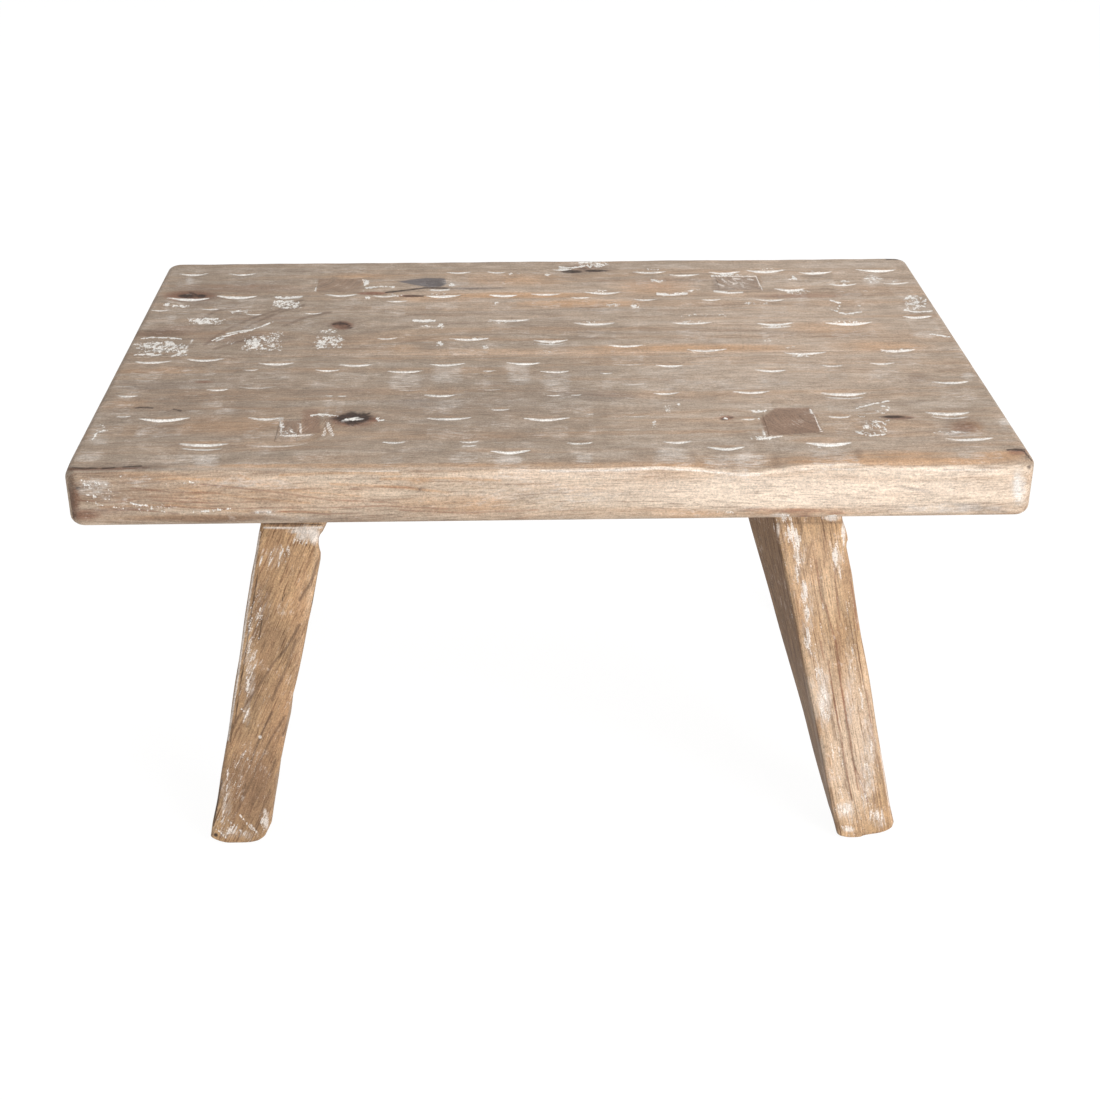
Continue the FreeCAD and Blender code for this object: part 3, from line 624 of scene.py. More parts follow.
LEFT_LEG_MARKS = (
    Stroke(Pigment.WHITE, 1.1, 0.9, (
        ((264, 527.6), (290, 528), (322, 527.4)),
        ((260, 532), (255.4, 560), (249, 600), (243, 640), (237.4, 680), (231, 720), (228, 740)),
    )),
    Stroke(Pigment.SPECK, 1.5, 0.62, (
        ((281, 545), (285, 556), (286, 563)), ((272, 552), (270, 562), (267, 572)), ((262, 556), (260, 566)),
        ((281, 552), (278, 566)), ((220, 820), (232, 832)), ((228, 820), (244, 834)),
        ((250, 824), (258, 834)), ((240, 815), (252, 830)), ((218, 830), (226, 838)),
        ((246, 676), (249, 686), (247, 696)), ((240, 708), (246, 712), (249, 708)), ((243, 723), (246, 718)),
        ((228, 770), (226, 800), (222, 818)),
    )),
    # The last line, along the leg's top at row 524, is painted shadow in the gap under the slab's edge.
    Stroke(Pigment.DARK, 0.9, 0.85, (
        ((262.6, 540), (256.6, 580), (250.6, 620), (244.4, 660), (238.6, 700), (230.4, 742)),
        ((286, 593), (283, 598), (282, 601)), ((300, 541), (302, 544)), ((306, 542), (306, 546)),
        ((320, 567), (316, 586), (312, 604)), ((304, 668), (300, 688), (297, 702)), ((262, 620), (259, 640)),
        ((222, 780), (217, 806), (213, 826)), ((264, 523.5), (290, 524), (322, 524.5)),
    )),
    Stroke(Pigment.SHADE, 1.5, 1.35, (
        ((299.5, 625), (285, 650), (274, 662), (259.5, 685), (245.7, 705), (230, 730)),
        ((272, 712), (264, 728), (257, 745), (245.7, 780), (238, 812)), ((300, 690), (292, 712), (283, 735)),
        ((284.5, 717), (276, 730), (269.5, 742), (255.7, 770), (242, 802)),
        ((275.7, 760), (267, 780), (252, 805)), ((296, 640), (286, 668), (272, 700)),
        ((318, 560), (312, 580), (300, 600)), ((270, 790), (262, 812), (256, 830)),
    )),
    Stroke(Pigment.DARK, 1.0, 0.5, (
        ((272, 712), (264, 728), (257, 745), (250, 765)), ((299, 626), (285, 650), (274, 662)),
        ((284, 718), (276, 731), (269, 743)), ((286, 593), (283, 598), (281, 602)), ((262, 690), (250, 706)),
        ((266, 640), (262, 652)), ((275, 652), (270, 664)), ((246, 785), (240, 806)),
    )),
    Stroke(Pigment.SHADE, 2.0, 0.6, (
        ((244, 812), (250, 786), (262, 764), (276, 742), (286, 715)),
        ((232, 808), (240, 778), (252, 752), (266, 728)), ((286, 700), (296, 676), (306, 655)),
        ((256, 820), (262, 796), (272, 772), (280, 748)), ((262, 690), (280, 664), (298, 640), (308, 620)),
        ((252, 718), (270, 690), (286, 668)),
    )),
    Stroke(Pigment.DARK, 1.2, 0.42, (
        ((250, 800), (256, 780), (266, 758)), ((286, 700), (294, 680)), ((274, 690), (284, 665)),
        ((262, 768), (268, 740), (276, 715)), ((266, 822), (270, 806)), ((242, 806), (246, 790)),
    )),
    Blot(Pigment.WHITE, (
        (304, 531.5, 16, 2.6, 0.9), (314, 536, 6, 9, 0.95), (303, 537, 9, 4, 0.7), (260, 737, 1.7, 1.7, 1.2),
        (266.5, 822, 2.4, 8, 0.8), (265, 812, 2, 4, 0.7),
    )),
    Blot(Pigment.SPECK, (
        (300, 540, 12, 6, 0.5), (278, 558, 14, 14, 0.36), (288, 552, 3, 9, 0.55), (251, 650, 7, 66, 0.46),
        (250, 640, 5, 40, 0.3), (248, 686, 4, 12, 0.56), (246, 714, 5, 10, 0.48), (258, 622, 8, 40, 0.4),
        (229, 828, 14, 11, 0.5), (222, 822, 7, 12, 0.5), (264, 822, 6, 12, 0.55), (266, 690, 10, 30, 0.3),
        (234, 780, 12, 34, 0.36), (270, 622, 5, 4, 0.4), (246, 755, 12, 24, 0.34), (246, 834, 16, 6, 0.4),
    )),
    Blot(Pigment.HAZE, (
        (250, 660, 8, 60, 0.5), (247, 712, 5, 20, 0.5), (276, 558, 12, 16, 0.4), (262, 600, 12, 40, 0.3),
        (226, 800, 8, 34, 0.45), (306, 532, 16, 8, 0.8), (236, 834, 22, 6, 0.5), (240, 770, 8, 30, 0.3),
    )),
    # The thin blot at row 524 is painted shadow under the slab's edge.
    Blot(Pigment.SHADE, (
        (268, 620, 20, 50, 0.4), (248, 730, 24, 50, 0.5), (262, 680, 18, 30, 0.45), (276, 536, 16, 10, 0.15),
        (250, 790, 36, 50, 0.85), (290, 556, 28, 22, 0.35), (245, 828, 28, 12, 0.35), (290, 524, 34, 3, 0.8),
        (276, 640, 14, 24, 0.6), (300, 690, 10, 40, 0.35), (266, 655, 16, 30, 0.5), (270, 780, 14, 50, 0.6),
        (240, 800, 30, 40, 0.5), (290, 660, 14, 60, 0.3), (264, 700, 40, 60, 0.35), (250, 780, 40, 50, 0.6),
        (262, 622, 14, 50, 0.7), (250, 700, 12, 60, 0.6),
    )),
    Blot(Pigment.DARK, ((216, 835, 2, 2, 1.4), (278, 610, 10, 20, 0.15), (268, 664, 10, 16, 0.2))),
    Blot(Pigment.WARM, (
        (300, 620, 14, 60, 0.7), (280, 720, 22, 60, 0.8), (300, 560, 22, 18, 0.5), (282, 600, 14, 30, 0.5),
        (250, 780, 30, 50, 0.8), (264, 650, 20, 50, 0.5),
    )),
    Blot(Pigment.GLOW, ((304, 600, 10, 30, 0.35), (298, 650, 8, 30, 0.3))),
)

RIGHT_LEG_MARKS = (
    Blot(Pigment.WHITE, (
        (832, 517.5, 9, 4, 0.75), (843.5, 533, 1.8, 15, 0.9), (849, 829.5, 6, 3, 0.7), (778, 530, 2, 9, 0.7),
    )),
    Blot(Pigment.SPECK, (
        (787, 518, 9, 6, 0.62), (831, 517, 10, 6, 0.6), (791, 532, 7, 15, 0.66), (797, 542, 5, 14, 0.64),
        (799, 558, 6, 12, 0.6), (797, 575, 3, 12, 0.66), (805, 592, 4.4, 16, 0.66), (807, 613, 3.4, 12, 0.64),
        (808, 640, 5, 18, 0.58), (813, 650, 4, 12, 0.5), (818, 672, 6, 10, 0.62), (823, 700, 6, 24, 0.58),
        (827, 715, 4, 16, 0.55), (835, 556, 4.4, 18, 0.64), (840, 575, 3, 12, 0.52), (843, 533, 3, 15, 0.6),
        (862, 699, 3, 18, 0.5), (871, 752, 3, 20, 0.5), (844, 808, 12, 8, 0.6), (848, 828, 9, 4, 0.62),
        (877, 816, 11, 10, 0.57), (775, 528, 4, 12, 0.5), (812, 560, 3, 30, 0.36), (822, 620, 4, 30, 0.36),
        (848, 600, 5, 24, 0.38), (852, 650, 6, 40, 0.4), (836, 760, 10, 50, 0.36), (866, 780, 10, 40, 0.42),
        (858, 700, 8, 40, 0.38), (842, 800, 12, 20, 0.4), (784, 560, 3, 20, 0.4), (792, 620, 3, 30, 0.36),
    )),
    Stroke(Pigment.WHITE, 0.8, 0.6, (
        ((797, 561), (795, 575), (793, 584)), ((815, 655), (820, 672), (823, 690)),
        ((880, 750), (885, 780), (889, 806)),
    )),
    # The line at rows 522 to 524 is painted shadow under the slab's edge.
    Stroke(Pigment.SHADE, 1.2, 0.8, (
        ((797, 567), (800, 576), (802, 585)), ((824, 524), (824, 545), (824, 567)),
        ((777, 523.5), (790, 523), (842, 522.5)), ((802, 620), (806, 640), (810, 656)),
        ((820, 560), (822, 590), (828, 620), (832, 650)), ((812, 540), (808, 560), (804, 575)),
        ((845, 720), (850, 745), (856, 770)), ((876, 748), (882, 780), (887, 811)), ((803, 524), (801, 534)),
        ((826, 680), (830, 710), (836, 740)), ((840, 740), (846, 775), (852, 800)),
    )),
    Stroke(Pigment.RED, 1.1, 0.9, (
        ((826, 605), (830, 622), (835, 640), (840, 680), (848, 730)), ((852, 759), (860, 780), (868, 802)),
        ((836, 640), (842, 690), (850, 740), (858, 790)), ((834, 560), (836, 590), (840, 620)),
        ((850, 580), (854, 600), (858, 630)), ((866, 690), (872, 730), (880, 770)),
        ((816, 560), (820, 590), (824, 610)), ((828, 660), (834, 700), (842, 745), (852, 800)),
        ((820, 640), (824, 660)),
    )),
    Blot(Pigment.RED, (
        (838, 640, 4, 60, 0.4), (850, 720, 5, 60, 0.4), (852, 600, 5, 30, 0.35), (862, 780, 4, 40, 0.35),
        (820, 545, 12, 24, 0.25), (800, 640, 3, 40, 0.3), (836, 826, 4, 8, 0.6),
    )),
    Blot(Pigment.WARM, (
        (818.5, 727, 3.5, 16, 1.2), (815, 560, 14, 24, 0.5), (842, 660, 8, 60, 0.5), (846, 580, 8, 30, 0.6),
        (828, 780, 6, 40, 0.5), (800, 620, 5, 40, 0.6),
    )),
    # The two blots at rows 519 to 523 are painted shadow under the slab's edge.
    Blot(Pigment.SHADE, (
        (806, 519, 26, 5, 0.5), (851, 615, 7, 36, 0.5), (848, 575, 8, 24, 0.45), (820, 545, 16, 24, 0.3),
        (814, 522.5, 32, 1.6, 0.7), (838, 640, 5, 50, 0.3), (838, 825, 6, 10, 0.6), (876, 770, 4, 50, 0.3),
    )),
    Blot(Pigment.PALE, ((850, 740, 34, 90, 0.95), (820, 690, 20, 60, 0.8), (815, 580, 44, 60, 0.5))),
    Stroke(Pigment.PALE, 3.2, 2.4, (((809, 680), (813, 710), (818, 735), (823, 757), (829, 785)),)),
    Blot(Pigment.HAZE, (
        (790, 532, 10, 16, 0.35), (800, 560, 8, 30, 0.5), (808, 620, 9, 50, 0.5), (824, 700, 9, 36, 0.75),
        (838, 560, 6, 24, 0.5), (868, 760, 10, 60, 0.6), (846, 810, 12, 12, 0.6), (850, 680, 8, 60, 0.45),
        (878, 820, 10, 10, 0.6),
    )),
)


# How far each edge of a front leg is off its straight run, by height, in millimetres.
LEFT_LEG_LEFT = (
    (0.0, 9.5), (1.0, 7.2), (2.5, 4.4), (5.0, -0.3), (14.0, -0.4), (28.0, 0.2), (56.0, 0.9), (110.0, 0.6),
    (149.0, 1.1), (174.0, 1.4), (187.0, 2.3), (198.0, 2.5), (210.0, 3.0), (220.0, 3.0),
)
LEFT_LEG_RIGHT = (
    (0.0, -15.0), (1.0, -9.5), (2.5, -5.4), (5.0, -3.0), (14.0, -0.6), (42.0, -1.2), (70.0, -0.6),
    (83.0, -1.2), (97.0, -0.6), (110.0, 0.0), (136.0, 0.7), (149.0, 1.2), (176.0, 1.5), (180.0, 1.0),
    (182.0, 0.1), (185.0, -0.9), (189.0, -1.4), (191.0, -1.0), (193.0, 0.2), (196.0, 1.2), (200.0, 2.2),
    (230.0, 2.2),
)
RIGHT_LEG_LEFT = (
    (0.0, 9.0), (1.0, 3.0), (3.0, -1.0), (64.0, -0.6), (105.0, -0.8), (130.0, -1.2), (200.0, -1.8),
    (220.0, -1.8),
)
RIGHT_LEG_RIGHT = (
    (0.0, -12.5), (1.0, -9.0), (2.5, -5.5), (5.0, -1.4), (8.0, 0.0), (22.0, -0.8), (50.0, -0.8), (92.0, -0.2),
    (105.0, -0.3), (131.0, -1.1), (170.0, -0.7), (184.0, -1.5), (187.0, -1.6), (189.5, -1.0), (191.0, -0.2),
    (194.0, -0.2), (198.0, -0.6), (202.0, -1.4), (220.0, -1.4),
)


class Brick:
    """A closed block: a fine grid on top, loops down its sides, and a bottom grid that may be coarser."""

    def __init__(self, top: np.ndarray, loops: np.ndarray, bottom: np.ndarray) -> None:
        """Joins the parts of the block.

        Args:
            top: Points of the top grid, by place along x, place along y, and coordinate.
            loops: Points of the loops around the sides from the top down, without the grids' own edges.
            bottom: Points of the bottom grid.
        """
        self.top, self.loops, self.bottom = top, loops, bottom
        self.points = np.concatenate([part.reshape(-1, 3) for part in (top, loops, bottom)])
        self.loops_from = top.shape[0] * top.shape[1]
        self.bottom_from = self.loops_from + loops.shape[0] * loops.shape[1]

    @staticmethod
    def ring(across: int, along: int) -> np.ndarray:
        """Lists a grid's edge points in the flattened grid, once around, against the clock seen from above."""
        number = np.arange(across * along).reshape(across, along)
        return np.concatenate([number[:-1, 0], number[-1, :-1], number[:0:-1, -1], number[0, :0:-1]])

    @staticmethod
    def cells(across: int, along: int) -> np.ndarray:
        """Lists a grid's four-sided faces, against the clock seen from above.

        Args:
            across: Points along x.
            along: Points along y.

        Returns:
            Rows of four places in the flattened grid.
        """
        number = np.arange(across * along).reshape(across, along)
        corners = (number[:-1, :-1], number[1:, :-1], number[1:, 1:], number[:-1, 1:])
        return np.stack([corner.ravel() for corner in corners], axis=1)

    def faces(self) -> list[np.ndarray]:
        """Lists all faces of the block.

        Returns:
            Arrays of faces, each array with one number of corners.
        """
        top_ring = self.ring(*self.top.shape[:2])
        bottom_ring = self.ring(*self.bottom.shape[:2]) + self.bottom_from
        count, around = self.loops.shape[:2]
        rows = [top_ring] + [self.loops_from + number * around + np.arange(around) for number in range(count)]
        ratio = len(top_ring) // len(bottom_ring)
        lists = [self.cells(*self.top.shape[:2])]
        bands = rows + [bottom_ring] if ratio == 1 else rows
        for upper, lower in zip(bands[:-1], bands[1:]):
            lists.append(np.stack([upper, lower, np.roll(lower, -1), np.roll(upper, -1)], axis=1))
        if ratio > 1:
            fine = rows[-1][(np.arange(0, around, ratio)[:, None] + np.arange(ratio, -1, -1)) % around]
            coarse = np.stack([bottom_ring, np.roll(bottom_ring, -1)], axis=1)
            lists.append(np.concatenate([fine, coarse], axis=1))
        lists.append(self.cells(*self.bottom.shape[:2])[:, ::-1] + self.bottom_from)
        return lists

    def make(self, name: str, fields: Fields) -> bpy.types.Object:
        """Makes the object.

        Args:
            name: The object's name.
            fields: Vector attributes of the points.

        Returns:
            The object, linked to the scene.
        """
        lists = self.faces()
        sizes = np.concatenate([np.full(len(part), part.shape[1]) for part in lists])
        corners = np.concatenate([part.ravel() for part in lists])
        mesh = bpy.data.meshes.new(name)
        mesh.vertices.add(len(self.points))
        mesh.vertices.foreach_set("co", (self.points * MM).astype(np.float32).ravel())
        mesh.loops.add(len(corners))
        mesh.loops.foreach_set("vertex_index", corners.astype(np.int32))
        mesh.polygons.add(len(sizes))
        mesh.polygons.foreach_set("loop_start", (np.cumsum(sizes) - sizes).astype(np.int32))
        mesh.polygons.foreach_set("use_smooth", np.ones(len(sizes), dtype=bool))
        mesh.update(calc_edges=True)
        mesh.validate()
        for label, values in fields.items():
            attribute = mesh.attributes.new(label, "FLOAT_VECTOR", "POINT")
            attribute.data.foreach_set("vector", values.astype(np.float32).ravel())
        piece = bpy.data.objects.new(name, mesh)
        bpy.context.scene.collection.objects.link(piece)
        log.info("%s: %d points, %d faces", name, len(self.points), len(sizes))
        return piece


def round_plan(x: np.ndarray, y: np.ndarray, half: np.ndarray, radius: float,
               corners: tuple[bool, bool] = (True, True)) -> tuple[np.ndarray, np.ndarray]:
    """Bends the corners of a rectangular grid into quarter discs.

    In a corner's square, a point keeps its larger offset r from the square's inner corner as a radius, and
    the ratio of its offsets becomes an angle: 45 degrees times small / large, from the nearer side.

    Args:
        x: Places along x, from the middle.
        y: Places along y, from the middle.
        half: The rectangle's half sizes along x and y.
        radius: The corners' radius.
        corners: Whether the corners at negative and at positive y are rounded.

    Returns:
        The bent places along x and y.
    """
    over_x = np.abs(x) - (half[0] - radius)
    over_y = np.abs(y) - (half[1] - radius)
    wanted = np.where(y < 0, corners[0], corners[1])
    inside = (over_x > 0) & (over_y > 0) & wanted
    large = np.where(inside, np.maximum(over_x, over_y), 1.0)
    small = np.where(inside, np.minimum(over_x, over_y), 0.0)
    angle = math.pi / 4 * small / large
    angle = np.where(over_x >= over_y, angle, math.pi / 2 - angle)
    new_x = np.sign(x) * (half[0] - radius + large * np.cos(angle))
    new_y = np.sign(y) * (half[1] - radius + large * np.sin(angle))
    return np.where(inside, new_x, x), np.where(inside, new_y, y)


def waves(x: np.ndarray, y: np.ndarray, lengths: tuple[float, ...], seed: int) -> np.ndarray:
    """Sums gentle crossing waves, as a stand-in for the unevenness of hand work.

    Each wave is sin(2 pi (x cos a + y sin a) / length + phase), with its own seeded direction a and phase.

    Args:
        x: Places in one direction.
        y: Places in the other direction.
        lengths: One wave length for each wave.
        seed: The seed of the directions and phases.

    Returns:
        Heights between about -1 and 1.
    """
    dice = np.random.default_rng(seed)
    total = np.zeros(np.broadcast(x, y).shape)
    for length in lengths:
        angle, phase = dice.uniform(0, math.tau, 2)
        total += np.sin(math.tau * (x * math.cos(angle) + y * math.sin(angle)) / length + phase)
    return total / math.sqrt(len(lengths))


@dataclass(frozen=True)
class Carving:
    """The gouge cuts in the seat's top, and its slight swell.

    A pair holds a base and what the lens adds to it (thick, second_thick), a bell curve's place and width
    (torn_bell, rim_bell), a slope and an offset (fill_softness, second_ends), or least shares (wash_least).
    """

    top: float
    thick: Pair = (0.8, 1.0)
    full_half: float = 11.0
    length_share: float = 18.0
    fall: float = 1.2
    wall: float = 1.0
    sag_share: float = 0.12
    lift: float = 1.2
    reach: Pair = (1.1, -6.0)
    fill_softness: Pair = (0.9, 0.6)
    fill_ends: float = 12.0
    second_line: float = 6.0
    second_thick: Pair = (0.9, 0.7)
    second_ends: Pair = (3.0, 0.6)
    second_share: float = 0.75
    torn_share: float = 0.78
    torn_bell: Pair = (1.5, 3.0)
    rim_bell: Pair = (-1.8, 1.7)
    wash: Curve = ((3, 0), (6, 1), (24, 1), (31, 0))
    wash_half: float = 0.97
    wash_ends: float = 14.0
    wash_least: Pair = (0.45, 0.25)
    swell: float = 0.25
    swell_lengths: tuple[float, ...] = (55, 38, 90, 27)
    end_gap: float = 0.02

    def cuts(self) -> list[tuple[float, float, float, Grade]]:
        """Carries the table of gouges onto the top.

        Returns:
            Centre x, centre y, half width and grade of each cut.
        """
        found = []
        for grade, rows in GOUGES.items():
            first, last, row = np.array(rows, float).T
            left = CAMERA.onto_level(np.stack([first, row - self.lift], axis=1), self.top)
            right = CAMERA.onto_level(np.stack([last, row - self.lift], axis=1), self.top)
            middle, half = (left + right) / 2, (right - left)[:, 0] / 2
            found += [(x, y, width, grade) for x, y, width in zip(middle[:, 0], middle[:, 1], half)]
        return found

    def measure(self, x: np.ndarray, y: np.ndarray) -> Fields:
        """Works out the depth of the cuts and their traces.

        Args:
            x: Places along x.
            y: Places along y.

        Returns:
            The fields depth, white (filler at the wall), speck (broken filler), rim (rubbed wood behind the
            wall, which also takes painted shade) and floor (thin wash), each the highest of all cuts.
        """
        found = {name: np.zeros(x.shape) for name in ("depth", "white", "speck", "rim", "floor")}
        for middle_x, middle_y, half, grade in self.cuts():
            across = (x - middle_x) / half
            way = middle_y + self.sag_share * half * across**2 - y
            near = (np.abs(across) < self.reach[0]) & (way > self.reach[1]) & (way < self.wash[-1][0])
            size = min(half / self.full_half, 1.0)
            for name, values in self.traces(across[near], way[near], size, grade).items():
                found[name][near] = np.maximum(found[name][near], values)
        return found

    def traces(self, p: np.ndarray, q: np.ndarray, size: float, grade: Grade) -> Fields:
        """Works out one cut's traces.

        With the lens 1 - p^2, the cut is depth * ((1 - q / length)^fall - p^2) deep, times a short ramp down
        its wall. Torn filler and the rim, rubbed wood behind the wall with painted shade along it, are bell
        curves of q, narrowed by the lens.

        Args:
            p: Places across the cut, in half widths.
            q: The way from the wall towards the viewer, in millimetres.
            size: The cut's width as a share of a full one's, at most 1.
            grade: How bold it is.

        Returns:
            The same fields as measure gives.
        """
        depth, white = grade.value[0] * size, grade.value[1]
        lens = np.clip(1 - p**2, 0, 1)
        hollow = np.clip(1 - q / (self.length_share * depth), 0, 1) ** self.fall - p**2
        torn, rim = (np.exp(-(((q - place) / width) ** 2)) for place, width in (self.torn_bell, self.rim_bell))
        return {
            "depth": depth * np.clip(hollow, 0, None) * np.clip(q / self.wall, 0, 1),
            "white": self.filler(q, lens, size, grade) * white,
            "speck": self.torn_share * torn * np.clip(lens * 4, 0, 1) * (grade is Grade.TORN),
            "rim": rim * lens**0.5 * white,
            "floor": self.thin_wash(p, q, white),
        }

    def filler(self, q: np.ndarray, lens: np.ndarray, size: float, grade: Grade) -> np.ndarray:
        """Lays the filler, as thick along the wall as the lens says, with soft edges.

        Args:
            q: The way from the wall.
            lens: The lens 1 - p^2.
            size: The cut's share of a full width.
            grade: How bold it is. A double cut has a second, thinner line in front.

        Returns:
            Strengths from 0 to 1.
        """
        half = (self.thick[0] + self.thick[1] * lens * size) / 2
        body = (half - np.abs(q - half)) / self.fill_softness[0] + self.fill_softness[1]
        fill = np.clip(body, 0, 1) * np.clip(lens * self.fill_ends, 0, 1)
        if grade is not Grade.DOUBLE:
            return fill
        line = np.clip(self.second_thick[0] + self.second_thick[1] * lens - np.abs(q - self.second_line), 0, 1)
        ends = np.clip(lens * self.second_ends[0] - self.second_ends[1], 0, 1)
        return np.maximum(fill, self.second_share * line * ends)

    def thin_wash(self, p: np.ndarray, q: np.ndarray, white: float) -> np.ndarray:
        """Lays the thin wash on a cut's floor: a curve of the way, that stops at the sides.

        Args:
            p: Places across the cut, in half widths.
            q: The way from the wall.
            white: The cut's share of filler.

        Returns:
            Strengths from 0 to 1.
        """
        near, scant = self.wash_least
        body = read_curve(self.wash, q) * (near + (1 - near) * q / self.wash[-1][0])
        sides = np.clip((self.wash_half - np.abs(p)) * self.wash_ends, 0, 1)
        return body * sides * (scant + (1 - scant) * white)

    def uneven(self, x: np.ndarray, y: np.ndarray) -> np.ndarray:
        """Gives the top's slight swell, as crossing waves."""
        return self.swell * waves(x, y, self.swell_lengths, SEED + 1)

    def end_height(self, x: np.ndarray, y: np.ndarray) -> np.ndarray:
        """Gives the height of end grain that lies a hair below the carved top."""
        sunk = self.measure(x, y)["depth"] + self.uneven(x, y)
        return self.top - self.end_gap - np.maximum(sunk, 0)


@dataclass(frozen=True)
class Knot:
    """A knot that the grain runs around."""

    u: float
    v: float
    half_length: float
    half_width: float


KNOTS = (
    Knot(586, 268, 34, 16), Knot(342, 325, 24, 14), Knot(350, 419, 30, 16), Knot(727, 418, 14, 9),
    Knot(204, 300, 40, 18), Knot(875, 428, 26, 12), Knot(264, 342, 24, 14),
)
GRAIN_SWAY = 2.2
KNOT_PULL = 0.75


def bend_grain(x: np.ndarray, y: np.ndarray, height: float) -> np.ndarray:
    """Bends the grain lines around the knots.

    Near a knot the place across the grain is drawn towards the knot's own, by a bell curve in both directions,
    so lines of equal place bulge around it. Long low waves bend the rest.

    Args:
        x: Places along the board.
        y: Places across the board.
        height: Height of the top in millimetres.

    Returns:
        Places across the grain.
    """
    bent = y + GRAIN_SWAY * waves(x / 3, y, (60, 95, 150), SEED)
    for knot in KNOTS:
        centre = CAMERA.onto_level(np.array([knot.u, knot.v]), height)
        along, across = (x - centre[0]) / knot.half_length, (y - centre[1]) / knot.half_width
        bent = bent - KNOT_PULL * np.exp(-(along**2) - across**2) * (y - centre[1])
    return bent


def pack_fields(count: int, pigments: dict[Pigment, np.ndarray], grain: np.ndarray) -> Fields:
    """Packs the pigments into vector attributes.

    Args:
        count: Number of points.
        pigments: Strength of each pigment.
        grain: Wood coordinates: along the grain and twice across it.

    Returns:
        The attributes by name.
    """
    fields = {name: np.zeros((count, 3)) for name in ATTRIBUTES}
    for pigment, strength in pigments.items():
        name, place = pigment.value
        fields[name][:, place] = strength
    fields["grain"] = grain
    return fields


def steps(start: float, end: float, count: int, margin: float, edge_cells: int,
          both: tuple[bool, bool] = (True, True)) -> np.ndarray:
    """Spaces grid lines closely near the ends, by quarter circles, and evenly between.

    Args:
        start: First line.
        end: Last line.
        count: Number of cells.
        margin: Width of the closely spaced zones.
        edge_cells: Cells in such a zone.
        both: Whether the start and the end have such a zone.

    Returns:
        The lines' places.
    """
    arc = margin * (1 - np.cos(np.linspace(0, math.pi / 2, edge_cells + 1)))
    head = start + arc if both[0] else np.array([start])
    tail = (end - arc)[::-1] if both[1] else np.array([end])
    inner = count - edge_cells * sum(both)
    return np.concatenate([head, np.linspace(head[-1], tail[0], inner + 1)[1:-1], tail])


